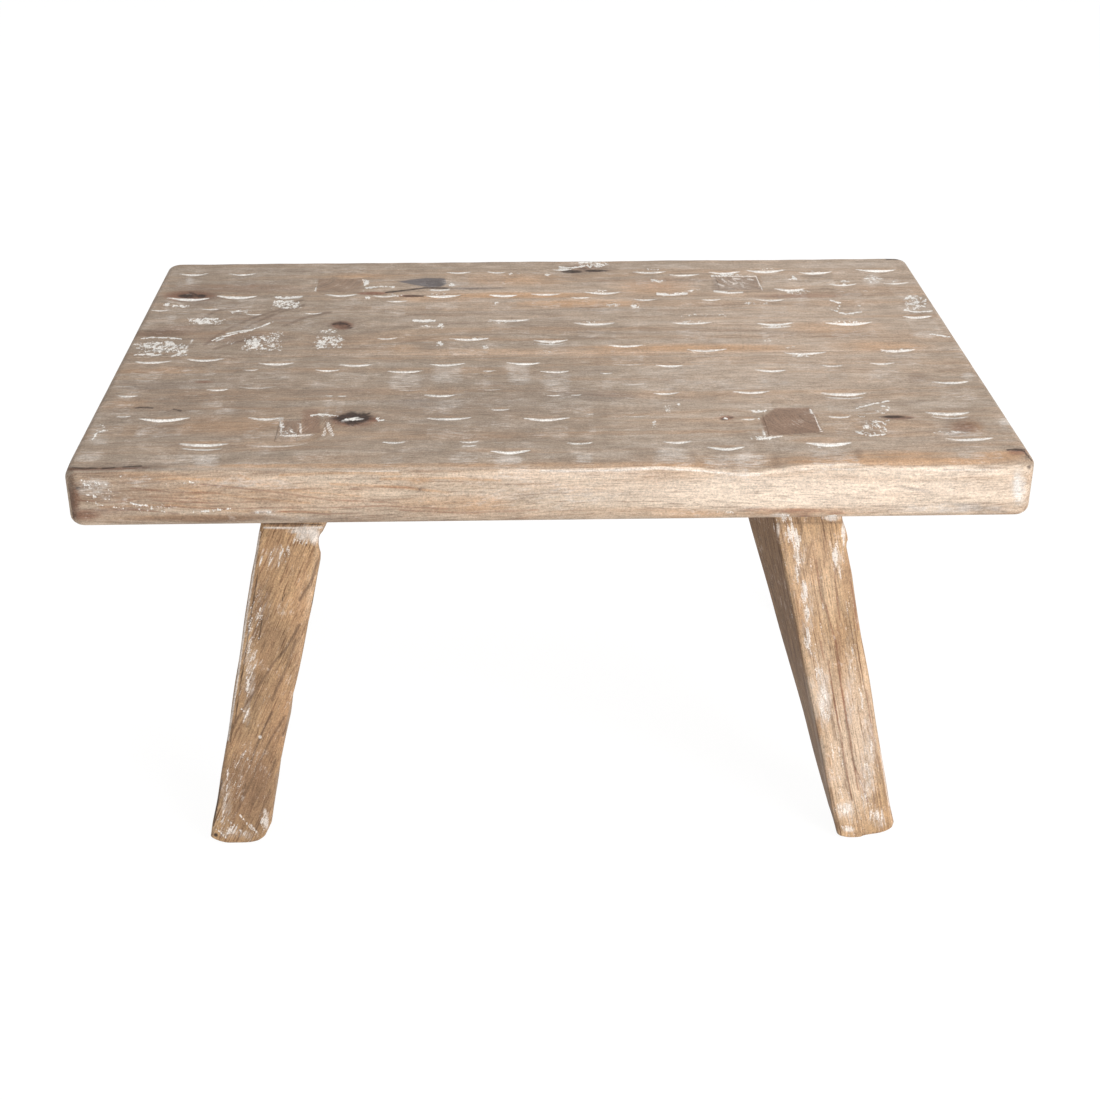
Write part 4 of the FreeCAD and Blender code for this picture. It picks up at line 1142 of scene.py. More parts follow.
@dataclass
class Plank:
    """One of the seat's two boards, with its share of the carving."""

    node: str
    outer_low: bool
    carving: Carving
    corner: float = 9.0
    edge: float = 5.0
    cell_x: float = 1.45
    cell_y: float = 1.0
    edge_cells: int = 8
    side_rows: int = 15
    bottom_rows: int = 5
    bottom_share: int = 4
    rim_gap: float = 2.0
    seam_groove: float = 0.5
    groove_width: float = 0.7
    plain_arris: Curve = ((67, 465.5), (1034, 461.0))
    scoop_share: float = 0.45
    scoop_reach: float = 14.0
    rub: float = 0.2
    rub_reach: float = 6.0
    front_reach: float = 3.0
    line_sway: float = 0.7
    line_waves: tuple[float, ...] = (61, 37, 23, 11)
    line_softness: Curve = ((500, 4.2), (600, 2.2))
    top_fade: Curve = ((3, 1), (6, 0))
    end_share: float = 0.45
    end_reach: float = 0.5
    grain_offset: float = 400.0
    grain_sway: float = 3.0
    grain_waves: tuple[float, ...] = (45, 70, 110)
    grain_tilt: float = 0.35
    # The rim behind each cut's wall takes warm and red stain as rubbed wood, and shade as painted shade.
    traces: tuple[tuple[Pigment, str, float], ...] = (
        (Pigment.WHITE, "white", 1.0), (Pigment.SPECK, "speck", 1.0), (Pigment.WARM, "rim", 0.5),
        (Pigment.RED, "rim", 0.2), (Pigment.SHADE, "rim", 0.35), (Pigment.HAZE, "floor", 0.5),
    )
    low: np.ndarray = field(init=False)
    high: np.ndarray = field(init=False)
    middle: np.ndarray = field(init=False)
    half: np.ndarray = field(init=False)

    def __post_init__(self) -> None:
        """Reads the board's box."""
        self.low, self.high = (np.array(corner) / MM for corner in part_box(self.node))
        self.middle, self.half = (self.low + self.high) / 2, (self.high - self.low) / 2

    def grid(self, share: int) -> tuple[np.ndarray, np.ndarray, np.ndarray]:
        """Lays the plan grid.

        Args:
            share: Keeps every share-th line.

        Returns:
            Places along x and y, and the distance in from the rounded outline's outer sides.
        """
        rounded = (self.outer_low, not self.outer_low)
        cells = [self.bottom_share * round(2 * half / size / self.bottom_share)
                 for half, size in zip(self.half, (self.cell_x, self.cell_y))]
        line_x = steps(self.low[0], self.high[0], cells[0], self.edge, self.edge_cells)
        line_y = steps(self.low[1], self.high[1], cells[1], self.edge, self.edge_cells, rounded)
        x, y = np.meshgrid(line_x[::share], line_y[::share], indexing="ij")
        bent_x, bent_y = round_plan(x, y - self.middle[1], self.half, self.corner, rounded)
        free_y = self.half[1] + (bent_y if self.outer_low else -bent_y)
        side = np.minimum(self.half[0] - np.abs(bent_x), free_y)
        over_x = np.abs(bent_x) - (self.half[0] - self.corner)
        over_y = self.corner - free_y
        turned = self.corner - np.hypot(np.maximum(over_x, 0), np.maximum(over_y, 0))
        inset = np.where((over_x > 0) & (over_y > 0), turned, side)
        return bent_x, bent_y + self.middle[1], np.clip(inset, 0, None)

    def drop(self, inset: np.ndarray) -> np.ndarray:
        """Gives the drop of the rounded edge: r - sqrt(r^2 - (r - inset)^2) within the radius r."""
        over = np.clip(self.edge - inset, 0, self.edge)
        return self.edge - np.sqrt(self.edge**2 - over**2)

    def surface(self, x: np.ndarray, y: np.ndarray,
                inset: np.ndarray) -> tuple[np.ndarray, Fields]:
        """Works out the carved top.

        The front arris's scoops are as deep as the photographed line lies below its straight run, and fade
        inwards as a bell curve. The seam's groove is a bell curve too.

        Args:
            x: Places along x.
            y: Places along y.
            inset: Distances in from the outline.

        Returns:
            Heights, and the carving's fields.
        """
        found = self.carving.measure(x, y)
        seam = self.high[1] if self.outer_low else self.low[1]
        groove = self.seam_groove * np.exp(-(((y - seam) / self.groove_width) ** 2))
        u = CAMERA.pixels(np.stack([x, y, np.full(x.shape, self.high[2])], axis=-1))[..., 0]
        sunk = read_curve(ARRIS, u) - read_curve(self.plain_arris, u)
        fade = np.exp(-(((y - self.low[1]) / self.scoop_reach) ** 2)) * self.outer_low
        depth = np.maximum(found["depth"], self.scoop_share * np.clip(sunk, 0, None) * fade)
        rubbed = (self.rub + self.carving.uneven(x, y)) * np.clip(inset / self.rub_reach, 0, 1)
        height = self.high[2] - self.drop(inset) - depth - groove - rubbed
        return np.minimum(height, self.high[2]), found

    def shape(self) -> tuple[Brick, Fields]:
        """Builds the board's points.

        Its loops go straight down to the base of the lower edge and then round it as a quarter circle.

        Returns:
            The block, and the carving's fields on its top grid.
        """
        x, y, inset = self.grid(1)
        height, found = self.surface(x, y, inset)
        top = np.stack([x, y, height], axis=-1)
        edge = top.reshape(-1, 3)[Brick.ring(*x.shape)]
        base = self.low[2] + self.edge
        share = np.linspace(0, 1, self.side_rows + 1)[1:, None]
        angle = np.linspace(0, math.pi / 2, self.bottom_rows + 1)[1:, None]
        level = np.ones(len(edge))
        heights = [edge[:, 2] * (1 - share) + base * share, (base - self.edge * np.sin(angle)) * level]
        drawn = np.concatenate([np.zeros(share.shape), self.edge * (1 - np.cos(angle))])
        loops = np.dstack([edge[:, :2] + drawn[..., None] * self.inward(edge), np.concatenate(heights)])
        low_x, low_y, _ = self.grid(self.bottom_share)
        flat = np.stack([low_x, low_y, np.full(low_x.shape, self.low[2])], axis=-1)
        flat.reshape(-1, 3)[Brick.ring(*low_x.shape)] = loops[-1, :: self.bottom_share]
        # The underside's inner points are drawn in, so that they stay within its rim.
        inside = flat[1:-1, 1:-1, :2]
        inside += (self.middle[:2] - inside) * (self.edge + self.rim_gap) / self.half[:2]
        return Brick(top, loops, flat), found

    def inward(self, edge: np.ndarray) -> np.ndarray:
        """Finds the way in from the outline, level and at right angles to it; nothing along the seam.

        Args:
            edge: The outline's points.

        Returns:
            Unit steps in plan.
        """
        local = edge[:, :2] - self.middle[:2]
        over = np.clip(np.abs(local) - (self.half[:2] - self.corner), 0, None) * -np.sign(local)
        over[:, 1] *= local[:, 1] < 0 if self.outer_low else local[:, 1] > 0
        return over / np.maximum(np.linalg.norm(over, axis=1, keepdims=True), 1e-6)

    def top_share(self, pixels: np.ndarray) -> np.ndarray:
        """Tells where the top's colour ends on the front edge: a soft step across a slightly wavy line.

        Args:
            pixels: Rows of u, v.

        Returns:
            1 above the line and 0 below it.
        """
        u, v = pixels.T
        line = read_curve(ARRIS, u) + read_curve(COLOUR_DROP, u)
        line += self.line_sway * waves(u, np.zeros(len(u)), self.line_waves, SEED + 5)
        return np.clip((line - v) / read_curve(self.line_softness, u) + 0.5, 0, 1)

    def pigments(self, brick: Brick, found: Fields) -> dict[Pigment, np.ndarray]:
        """Lays the marks on the board.

        Args:
            brick: The block.
            found: The carving's fields on the top grid.

        Returns:
            The strength of each pigment at each point.
        """
        points = brick.points
        count = len(points)
        pixels = CAMERA.pixels(points)
        on_top = np.arange(count) < brick.loops_from
        in_front = (points[:, 1] < self.low[1] + self.front_reach) & (points[:, 2] < self.high[2])
        in_front = in_front & self.outer_low
        share = np.where(in_front, self.top_share(pixels), 1.0)
        total = {pigment: np.zeros(count) for pigment in Pigment}
        for marks, weight in ((TOP_MARKS, on_top * share), (FRONT_MARKS, in_front * (1 - share * on_top))):
            for pigment, strength in spread_marks(marks, pixels).items():
                total[pigment] = np.maximum(total[pigment], strength * weight)
        for pigment, name, amount in self.traces:
            carved = np.zeros(count)
            carved[: brick.loops_from] = found[name].ravel() * amount
            total[pigment] = np.maximum(total[pigment], carved)
        total[Pigment.TOP] = on_top * share * read_curve(self.top_fade, self.high[2] - points[:, 2])
        at_end = (np.abs(points[:, 0]) > self.high[0] - self.end_reach) & ~on_top
        total[Pigment.END] = np.maximum(total[Pigment.END], self.end_share * at_end)
        return total

    def make(self) -> bpy.types.Object:
        """Makes the board.

        Returns:
            The object.
        """
        brick, found = self.shape()
        points = brick.points
        across = bend_grain(points[:, 0], points[:, 1], self.high[2])
        wavy = self.grain_sway * waves(points[:, 0] / 4, points[:, 2], self.grain_waves, SEED + 2)
        tilt = points[:, 2] * (1.0 if self.outer_low else 0.7) + self.grain_tilt * points[:, 1] + wavy
        offset = 0.0 if self.outer_low else self.grain_offset
        grain = np.stack([points[:, 0] + offset, across, tilt + offset], axis=1)
        piece = brick.make(self.node + "_carved", pack_fields(len(points), self.pigments(brick, found), grain))
        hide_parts(self.node)
        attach(piece, "root")
        return piece


@dataclass
class Leg:
    """A splayed leg with its shoulder under the slab and its tenon through it.

    The side is -1 for left and 1 for right, the end is -1 for front and 1 for rear, and the run is how far the
    foot stands out along the seat.
    """

    node: str
    side: int
    end: int
    run: float
    carving: Carving
    marks: tuple[Mark, ...] = ()
    flare: float = 0.0
    wedged: bool = False
    slant: float = 0.0
    # Strengths of painted shade on the shaft's left and right sides.
    shaded_sides: Pair = (0.0, 0.0)
    shade_cells: float = 1.5
    foot_shift: Pair = (0.0, 0.0)
    foot_skew: float = 0.0
    deep_run: float = 12.0
    slab_foot: float = 220.0
    cap_gap: float = 4.0
    shoulder_gap: float = 0.1
    tenon: Pair = (131.0, 116.5)
    tenon_size: Pair = (30.0, 29.0)
    shoulder: Pair = (36.5, 34.0)
    foot: Pair = (34.0, 33.0)
    arris: float = 3.0
    wear: float = 4.5
    wedge_widths: Pair = (4.0, 11.5)
    unevenness: float = 0.35
    uneven_lengths: tuple[float, ...] = (70, 45, 110)
    uneven_fade: float = 0.3
    foot_draw: Pair = (1.5, 0.6)
    tenon_arris: float = 0.4
    notch_rise: float = 0.0
    slanted_from: Curve = ((100, 0), (160, 1))
    cells: int = 32
    rows: int = 200
    edge_zone: float = 0.2
    edge_cells: int = 4
    foot_cells: int = 8
    left_edge: Curve = ((0.0, 0.0),)
    right_edge: Curve = ((0.0, 0.0),)
    front_fade: Curve = ((-13.0, 1.0), (-8.0, 0.0))
    # Painted highlight along the shaft's rounded corners, by the smaller offset from the middle.
    corner_highlight: Curve = ((14.5, 0.0), (17.5, 0.6))
    grain_offset: float = 100.0
    grain_tilt: float = 0.3
    heart: Pair = (26.0, 17.0)
    end_stretch: Pair = (0.5, 1.3)

    def axis(self, height: float | np.ndarray) -> np.ndarray:
        """Gives the middle of the leg at a height.

        Args:
            height: Height above the floor, one or many.

        Returns:
            Place along x and y.
        """
        share = (self.carving.top - height) / self.carving.top
        along = self.side * (self.tenon[0] + self.run * share)
        deep = self.end * (self.tenon[1] + self.deep_run * share)
        return np.stack([along, deep], axis=-1)

    def plan(self, size: np.ndarray, radius: float) -> np.ndarray:
        """Lays a section's grid, with rounded corners.

        Args:
            size: Width and depth.
            radius: Corner radius.

        Returns:
            Points in plan from the section's middle.
        """
        shares = steps(-1, 1, self.cells, self.edge_zone, self.edge_cells)
        x, y = np.meshgrid(shares * size[0] / 2, shares * size[1] / 2, indexing="ij")
        return np.stack(round_plan(x, y, size / 2, radius), axis=-1)

    def section(self, height: float) -> np.ndarray:
        """Gives the shaft's section at a height.

        The size runs evenly from foot to shoulder and draws in near the floor as a quarter circle. A flared
        leg's inner back corner runs out evenly, and both sides follow their tables of wear. The right one's
        upper part is read higher at the back than at the front by twice the notch rise, so its notch slants
        with the view.

        Args:
            height: Height above the floor, up to the slab.

        Returns:
            Grid points in plan.
        """
        share = height / self.slab_foot
        size = np.array(self.foot) * (1 - share) + np.array(self.shoulder) * share
        over = np.clip(self.wear - height, 0, self.wear)
        drawn = self.wear - math.sqrt(self.wear**2 - over**2)
        size = size - self.foot_draw[0] * drawn
        plan = self.plan(size, self.arris + self.foot_draw[1] * drawn)
        unit = plan / (size / 2)
        inner = (1 - unit[..., 0] * self.side) / 2 * (1 + unit[..., 1]) / 2
        plan[..., 0] -= self.side * self.flare * share * inner
        left = read_curve(self.left_edge, height) * (1 - unit[..., 0]) / 2
        slanted = height + self.notch_rise * unit[..., 1] * read_curve(self.slanted_from, height)
        right = read_curve(self.right_edge, slanted) * (1 + unit[..., 0]) / 2
        low_share = (1 - share) ** 2
        plan[..., 0] += left + right + self.foot_shift[0] * low_share
        plan[..., 1] += (self.foot_shift[1] + self.foot_skew * unit[..., 0]) * low_share
        around = plan[..., 1] + plan[..., 0]
        seed = SEED + self.side + 3 * self.end
        uneven = self.unevenness * waves(around, np.full(around.shape, height), self.uneven_lengths, seed)
        edge = np.clip(np.abs(unit).max(axis=-1, keepdims=True), 0, 1) ** 4
        return self.axis(height) + plan + uneven[..., None] * unit * edge * (1 - share) ** self.uneven_fade

    def tenon_section(self, height: float) -> np.ndarray:
        """Gives the tenon's section at a height inside the slab, cut back on its outer side for a wedge.

        Args:
            height: Height above the floor.

        Returns:
            Grid points in plan.
        """
        cut = np.interp(height, (self.slab_foot, self.carving.top), self.wedge_widths) * self.wedged
        plan = self.plan(np.array(self.tenon_size) - (cut, 0.0), self.tenon_arris)
        return self.axis(height) + np.array([-self.side * cut / 2, 0.0]) + plan

    def shape(self) -> Brick:
        """Builds the leg's points, its tenon's end following the carved top.

        Returns:
            The block.
        """
        ring = Brick.ring(self.cells + 1, self.cells + 1)
        cap = self.tenon_section(self.carving.top)
        top = np.dstack([cap, self.carving.end_height(cap[..., 0], cap[..., 1])])
        ends = (self.carving.top - self.cap_gap, self.slab_foot + self.shoulder_gap)
        loops = [self.flat_loop(self.tenon_section(height), height, ring) for height in ends]
        near = self.wear * (1 - np.cos(np.linspace(0, math.pi / 2, self.foot_cells + 1)))
        heights = np.concatenate([np.linspace(self.slab_foot, self.wear, self.rows), near[::-1][1:-1]])
        loops += [self.flat_loop(self.section(height), height, ring) for height in heights]
        sole = self.section(0.0)
        return Brick(top, np.array(loops), np.dstack([sole, np.zeros(sole.shape[:2])]))

    @staticmethod
    def flat_loop(section: np.ndarray, height: float, ring: np.ndarray) -> np.ndarray:
        """Takes a section's outline, at a height, as a loop of points."""
        outline = section.reshape(-1, 2)[ring]
        return np.column_stack([outline, np.full(len(outline), height)])

    def fields(self, brick: Brick) -> Fields:
        """Lays the marks and the grain on the leg.

        Args:
            brick: The block.

        Returns:
            The attributes.
        """
        points = brick.points
        local = points[:, :2] - self.axis(points[:, 2])
        pixels = CAMERA.pixels(points)
        front = read_curve(self.front_fade, local[:, 1]) * (points[:, 2] < self.slab_foot + 1)
        total = {pigment: np.zeros(len(points)) for pigment in Pigment}
        for pigment, strength in spread_marks(self.marks, pixels).items():
            total[pigment] = strength * front
        on_end = np.arange(len(points)) < brick.loops_from
        for pigment, strength in spread_marks(TOP_MARKS, pixels).items():
            total[pigment] = np.where(on_end, strength, total[pigment])
        total[Pigment.END] = on_end * total[Pigment.END]
        total[Pigment.TOP] = on_end * 1.0
        # Painted highlight along the shaft's rounded corners.
        corner = read_curve(self.corner_highlight, np.abs(local).min(axis=1))
        total[Pigment.PALE] = np.maximum(total[Pigment.PALE], corner * ~on_end)
        # Painted shade on the chosen sides.
        total[Pigment.SHADE] = np.maximum(total[Pigment.SHADE], self.side_shade(brick))
        return pack_fields(len(points), total, self.grain(local, points[:, 2], on_end))

    def grain(self, local: np.ndarray, height: np.ndarray, on_end: np.ndarray) -> np.ndarray:
        """Gives the wood coordinates.

        On the shaft they run up it, across it with the leg's slant, and into it. On the tenon's end they are
        rings around a heart off its corner.

        Args:
            local: Places in plan from the leg's middle.
            height: Heights above the floor.
            on_end: Whether a point is on the tenon's end.

        Returns:
            Rows of three coordinates, apart from those of the other legs.
        """
        x, y = local.T
        offset = self.grain_offset * (self.side + 2 * self.end)
        shaft = [height + offset, x - self.slant * height + offset, y + self.grain_tilt * x]
        rings = np.hypot(x - self.heart[0] * self.side, y - self.heart[1])
        cap = [self.end_stretch[0] * y, self.end_stretch[1] * rings, np.zeros(len(x))]
        return np.where(on_end, cap, shaft).T

    def side_shade(self, brick: Brick) -> np.ndarray:
        # Paints shade onto the chosen sides, which should lie darker than the lamps leave them.
        """Darkens the left and right sides, found from the loops' numbering, up to their corners.

        Args:
            brick: The block.

        Returns:
            One strength for each point.
        """
        strength = np.zeros(len(brick.points))
        around = np.zeros(4 * self.cells)
        for start, amount in ((3 * self.cells, self.shaded_sides[0]), (self.cells, self.shaded_sides[1])):
            place = np.arange(4 * self.cells) - start
            around += amount * np.clip(np.minimum(place - 1, self.cells - 1 - place) / self.shade_cells, 0, 1)
        strength[brick.loops_from : brick.bottom_from] = np.tile(around, brick.loops.shape[0])
        return strength

    def make(self) -> bpy.types.Object:
        """Makes the leg.

        Returns:
            The object.
        """
        brick = self.shape()
        piece = brick.make(self.node + "_worn", self.fields(brick))
        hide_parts(self.node)
        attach(piece, "root")
        return piece


@dataclass
class Wedge:
    """The filling piece on the outer side of the front left tenon."""

    node: str
    carving: Carving
    cells: int = 16
    end_x: Pair = (-146.0, -134.7)
    end_y: Pair = (-130.9, -102.1)
    foot_width: float = 3.9
    gap: float = 0.1
    lean: float = 1.52
    loop_shares: tuple[float, ...] = (0.1, 0.4, 0.7)
    grain_stretch: Size = (2.0, 1.5, 1.0)

    def shape(self) -> Brick:
        """Builds the wedge's points: its top follows the carved seat, its foot is as narrow as the CAD's.

        Returns:
            The block.
        """
        low = np.array(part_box(self.node)[0]) / MM
        lines = (np.linspace(*ends, self.cells + 1) for ends in (self.end_x, self.end_y))
        x, y = np.meshgrid(*lines, indexing="ij")
        top = np.stack([x, y, self.carving.end_height(x, y)], axis=-1)
        foot_x = np.interp(x, self.end_x, (low[0] + self.gap, low[0] + self.gap + self.foot_width))
        foot = np.stack([foot_x, y - self.lean, np.full(x.shape, low[2])], axis=-1)
        ring = Brick.ring(*x.shape)
        edge, base = top.reshape(-1, 3)[ring], foot.reshape(-1, 3)[ring]
        loops = np.array([edge * (1 - share) + base * share for share in self.loop_shares])
        return Brick(top, loops, foot)

    def make(self) -> bpy.types.Object:
        """Makes the wedge.

        Returns:
            The object.
        """
        brick = self.shape()
        points = brick.points
        on_end = np.arange(len(points)) < brick.loops_from
        marks = spread_marks(TOP_MARKS, CAMERA.pixels(points))
        total = {pigment: strength * on_end for pigment, strength in marks.items()}
        total[Pigment.TOP] = on_end * 1.0
        grain = points[:, (1, 0, 2)] * self.grain_stretch
        piece = brick.make(self.node + "_end", pack_fields(len(points), total, grain))
        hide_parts(self.node)
        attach(piece, "root")
        return piece


def linear(colour: Colour) -> tuple[float, float, float, float]:
    """Turns a screen colour into a linear one.

    Args:
        colour: Red, green and blue from 0 to 255.

    Returns:
        Linear red, green, blue and alpha.
    """
    shares = np.array(colour) / 255
    values = np.where(shares <= 0.04045, shares / 12.92, ((shares + 0.055) / 1.055) ** 2.4)
    return (*values.tolist(), 1.0)


class Sum:
    """A shader value that takes part in sums."""

    def __init__(self, shader: Shader, socket: Socket) -> None:
        """Keeps the socket and the shader that it belongs to."""
        self.shader, self.socket = shader, socket

    def __add__(self, other: Sum | float) -> Sum:
        """Adds."""
        return self.shader.math("ADD", self, other)

    def __sub__(self, other: Sum | float) -> Sum:
        """Takes away."""
        return self.shader.math("SUBTRACT", self, other)

    def __rsub__(self, other: float) -> Sum:
        """Takes this from a number."""
        return self.shader.math("SUBTRACT", other, self)

    def __mul__(self, other: Sum | float) -> Sum:
        """Multiplies."""
        return self.shader.math("MULTIPLY", self, other)

    __radd__ = __add__
    __rmul__ = __mul__

    def ramp(self, low: float, high: float) -> Sum:
        """Maps low to 0 and high to 1 with a smooth step.

        Args:
            low: Value that gives 0.
            high: Value that gives 1.

        Returns:
            The mapped value.
        """
        settings = {"interpolation_type": "SMOOTHSTEP"}
        inputs = {"Value": self, "From Min": low, "From Max": high}
        node = self.shader.node("ShaderNodeMapRange", settings, inputs)
        return Sum(self.shader, node.outputs["Result"])


class Shader:
    """The node tree of a material or of the surround, written with sums."""

    def __init__(self, owner: bpy.types.Material | bpy.types.World) -> None:
        """Empties the tree.

        Args:
            owner: The new material or world.
        """
        owner.use_nodes = True
        self.owner, self.tree = owner, owner.node_tree
        self.tree.nodes.clear()

    def node(self, kind: str, settings: dict[str, object] | None = None,
             inputs: dict[str | int, object] | None = None) -> bpy.types.Node:
        """Makes a node.

        Args:
            kind: The node's type.
            settings: Its properties, set first.
            inputs: Values or sums for its inputs, by name or number.

        Returns:
            The node.
        """
        node = self.tree.nodes.new(kind)
        for key, value in (settings or {}).items():
            setattr(node, key, value)
        for key, value in (inputs or {}).items():
            if isinstance(value, Sum):
                self.tree.links.new(value.socket, node.inputs[key])
            elif isinstance(value, Socket):
                self.tree.links.new(value, node.inputs[key])
            else:
                node.inputs[key].default_value = value
        return node

    def math(self, operation: str, *operands: Sum | float) -> Sum:
        """Combines numbers by an operation of the Math node."""
        node = self.node("ShaderNodeMath", {"operation": operation}, dict(enumerate(operands)))
        return Sum(self, node.outputs[0])

    def mix(self, factor: Sum, first: Socket | tuple, second: tuple) -> Socket:
        """Mixes a colour with a second one, whose share is the factor."""
        return self.node("ShaderNodeMix", {"data_type": "RGBA"}, {0: factor, 6: first, 7: second}).outputs[2]

    def place(self) -> Socket:
        """Gives the place on the object in millimetres, as a vector socket."""
        inputs = {0: self.node("ShaderNodeTexCoord").outputs["Object"], "Scale": 1 / MM}
        return self.node("ShaderNodeVectorMath", {"operation": "SCALE"}, inputs).outputs[0]

    def attribute(self, name: str) -> Socket:
        """Reads a vector attribute."""
        return self.node("ShaderNodeAttribute", {"attribute_name": name}).outputs["Vector"]

    def parts(self, vector: Socket) -> tuple[Sum, Sum, Sum]:
        """Splits a vector into its three numbers."""
        node = self.node("ShaderNodeSeparateXYZ", None, {"Vector": vector})
        return tuple(Sum(self, output) for output in node.outputs)

    def noise(self, vector: Socket, sizes: Size, detail: float = 3.0, roughness: float = 0.55,
              distortion: float = 0.0) -> Sum:
        """Makes a noise whose features have given sizes.

        Args:
            vector: Coordinates in millimetres.
            sizes: Feature size along each coordinate.
            detail: Number of finer layers.
            roughness: Strength of the finer layers.
            distortion: How much the noise bends itself.

        Returns:
            Values around 0.5.
        """
        inputs = {0: vector, 1: tuple(1 / size for size in sizes)}
        scaled = self.node("ShaderNodeVectorMath", {"operation": "MULTIPLY"}, inputs)
        inputs = {"Vector": scaled.outputs[0], "Scale": 1.0, "Detail": detail, "Roughness": roughness,
                  "Distortion": distortion}
        node = self.node("ShaderNodeTexNoise", {"noise_dimensions": "3D"}, inputs)
        return Sum(self, node.outputs["Fac"])

    def finish(self, inputs: dict[str | int, object]) -> bpy.types.Material:
        """Closes a material with a principled surface.

        Args:
            inputs: The surface's values and links.

        Returns:
            The material.
        """
        surface = self.node("ShaderNodeBsdfPrincipled", None, inputs)
        self.node("ShaderNodeOutputMaterial", None, {"Surface": surface.outputs[0]})
        return self.owner


@dataclass(frozen=True)
class WoodFinish:
    """Colours and strengths of a whitewashed and rubbed back wood."""

    name: str
    side: Colour
    top: Colour
    streak: Colour
    # pale also colours painted highlights along rounded edges.
    pale: Colour = (238, 219, 200)
    warm: Colour = (196, 154, 116)
    red: Colour = (134, 88, 66)
    dark: Colour = (50, 38, 34)
    cool: Colour = (98, 96, 100)
    haze: Colour = (206, 196, 187)
    white: Colour = (233, 229, 223)
    end: Colour = (142, 116, 98)
    # shade also colours painted shade on leg sides, under the slab's edges and behind the cuts' walls.
    shade: Colour = (98, 76, 62)
    glow: Colour = (220, 198, 178)
    streak_size: Size = (60.0, 2.2, 2.2)
    line_size: Size = (20.0, 0.9, 0.9)
    speck_size: Size = (2.4, 3.8, 3.8)
    contrast: float = 1.4
    streak_share: float = 0.75
    line_share: float = 0.6
    pore_share: float = 0.4
    stray_white: float = 0.25
    grit_share: float = 0.9
    roughness: float = 0.62
    shine: float = 0.3
    bump: float = 0.35
    bump_depth: float = 0.6 * MM

    def noises(self, shader: Shader) -> SimpleNamespace:
        """Makes the wood's noises: most follow the grain, mottle and grit the place on the object.

        Args:
            shader: The shader.

        Returns:
            The noises by name.
        """
        grain, place = shader.attribute("grain"), shader.place()
        table = {
            "streaks": (grain, self.streak_size, 5.0, 0.68),
            "fibres": (grain, (9.0, 0.7, 0.7), 2.0, 0.6),
            "bands": (grain, (200.0, 12.0, 12.0), 3.0, 0.55, 0.6),
            "pores": (grain, (2.4, 0.5, 0.5), 1.0),
            "scuff": (grain, (6.0, 1.5, 1.5), 3.0, 0.65),
            "mottle": (place, (16.0, 12.0, 12.0), 4.0, 0.6),
            "grit": (place, (0.9, 1.2, 0.9), 3.0, 0.75),
            "chips": (grain, self.speck_size, 2.5, 0.6, 0.4),
            "lines": (grain, self.line_size, 3.0, 0.6, 0.5),
            "dashes": (grain, (4.5, 0.9, 0.9), 2.0, 0.65),
            "patches": (grain, (24.0, 5.0, 5.0), 3.0, 0.6, 0.3),
        }
        return SimpleNamespace(**{name: shader.noise(*values) for name, values in table.items()})

    def bare_layers(self, n: SimpleNamespace, m: SimpleNamespace) -> tuple[tuple[Sum, Colour], ...]:
        """Lists the layers of the bare wood, lowest first.

        Args:
            n: The noises.
            m: The marks' strengths, by pigment.

        Returns:
            The share and the colour of each.
        """
        deep = (n.streaks * 0.8 + n.bands * 0.4 + n.fibres * 0.3).ramp(0.68, 1.02)
        fine = n.lines.ramp(0.5, 0.7) * (1.0 - m.top * 0.3) * (1.0 - m.pale * 0.35)
        cold = (n.mottle * 0.8 + (1.0 - n.bands) * 0.5).ramp(0.6, 0.86) * 0.22
        return (
            (m.glow.ramp(0.0, 1.2), self.glow),
            ((m.pale * (n.streaks + 0.5)).ramp(0.0, 1.1) * 0.85, self.pale),
            (deep * (1.0 - m.pale * 0.5) * (1.0 - m.top * 0.4) * self.streak_share, self.streak),
            (fine * self.line_share, self.streak),
            ((n.bands + n.mottle * 0.4).ramp(0.62, 0.9) * 0.22, self.warm),
            (cold * m.top, self.haze),
        )

    def mark_layers(self, n: SimpleNamespace, m: SimpleNamespace) -> tuple[tuple[Sum, Colour], ...]:
        """Lists the layers of stains and thin wash over the bare wood, lowest first.

        Args:
            n: The noises.
            m: The marks' strengths, by pigment.

        Returns:
            The share and the colour of each.
        """
        murk = m.shade * (n.streaks * 1.2 + n.mottle * 0.6 + n.fibres * 0.4 - 0.1)
        wash = m.haze * (1.15 + (n.scuff - 0.5) * 1.6 + (n.fibres - 0.5))
        wash = wash + (n.scuff - 0.5) * 0.9 + (n.mottle - 0.5) * 0.5
        stray = (n.mottle + (n.scuff - 0.5) * 1.1 + (n.grit - 0.5) * 0.4).ramp(0.62, 0.8)
        return (
            ((m.warm * (n.streaks + n.mottle)).ramp(0.05, 1.0) * 0.75, self.warm),
            ((m.red * (n.fibres + n.mottle)).ramp(0.15, 1.0) * 0.75, self.red),
            (murk.ramp(-0.2, 1.2) * 0.7 - 0.05, self.shade),
            (m.end * 0.9, self.end),
            ((m.cool * (n.streaks + n.mottle)).ramp(0.15, 1.1) * 0.85, self.cool),
            ((m.dark * (n.fibres * 0.6 + n.chips + n.grit * 0.4)).ramp(0.2, 0.95) * 0.9, self.dark),
            (n.pores.ramp(0.42, 0.3) * self.pore_share, self.streak),
            (wash.ramp(0.22, 1.15) * 0.8, self.haze),
            (stray * self.stray_white, self.haze),
        )

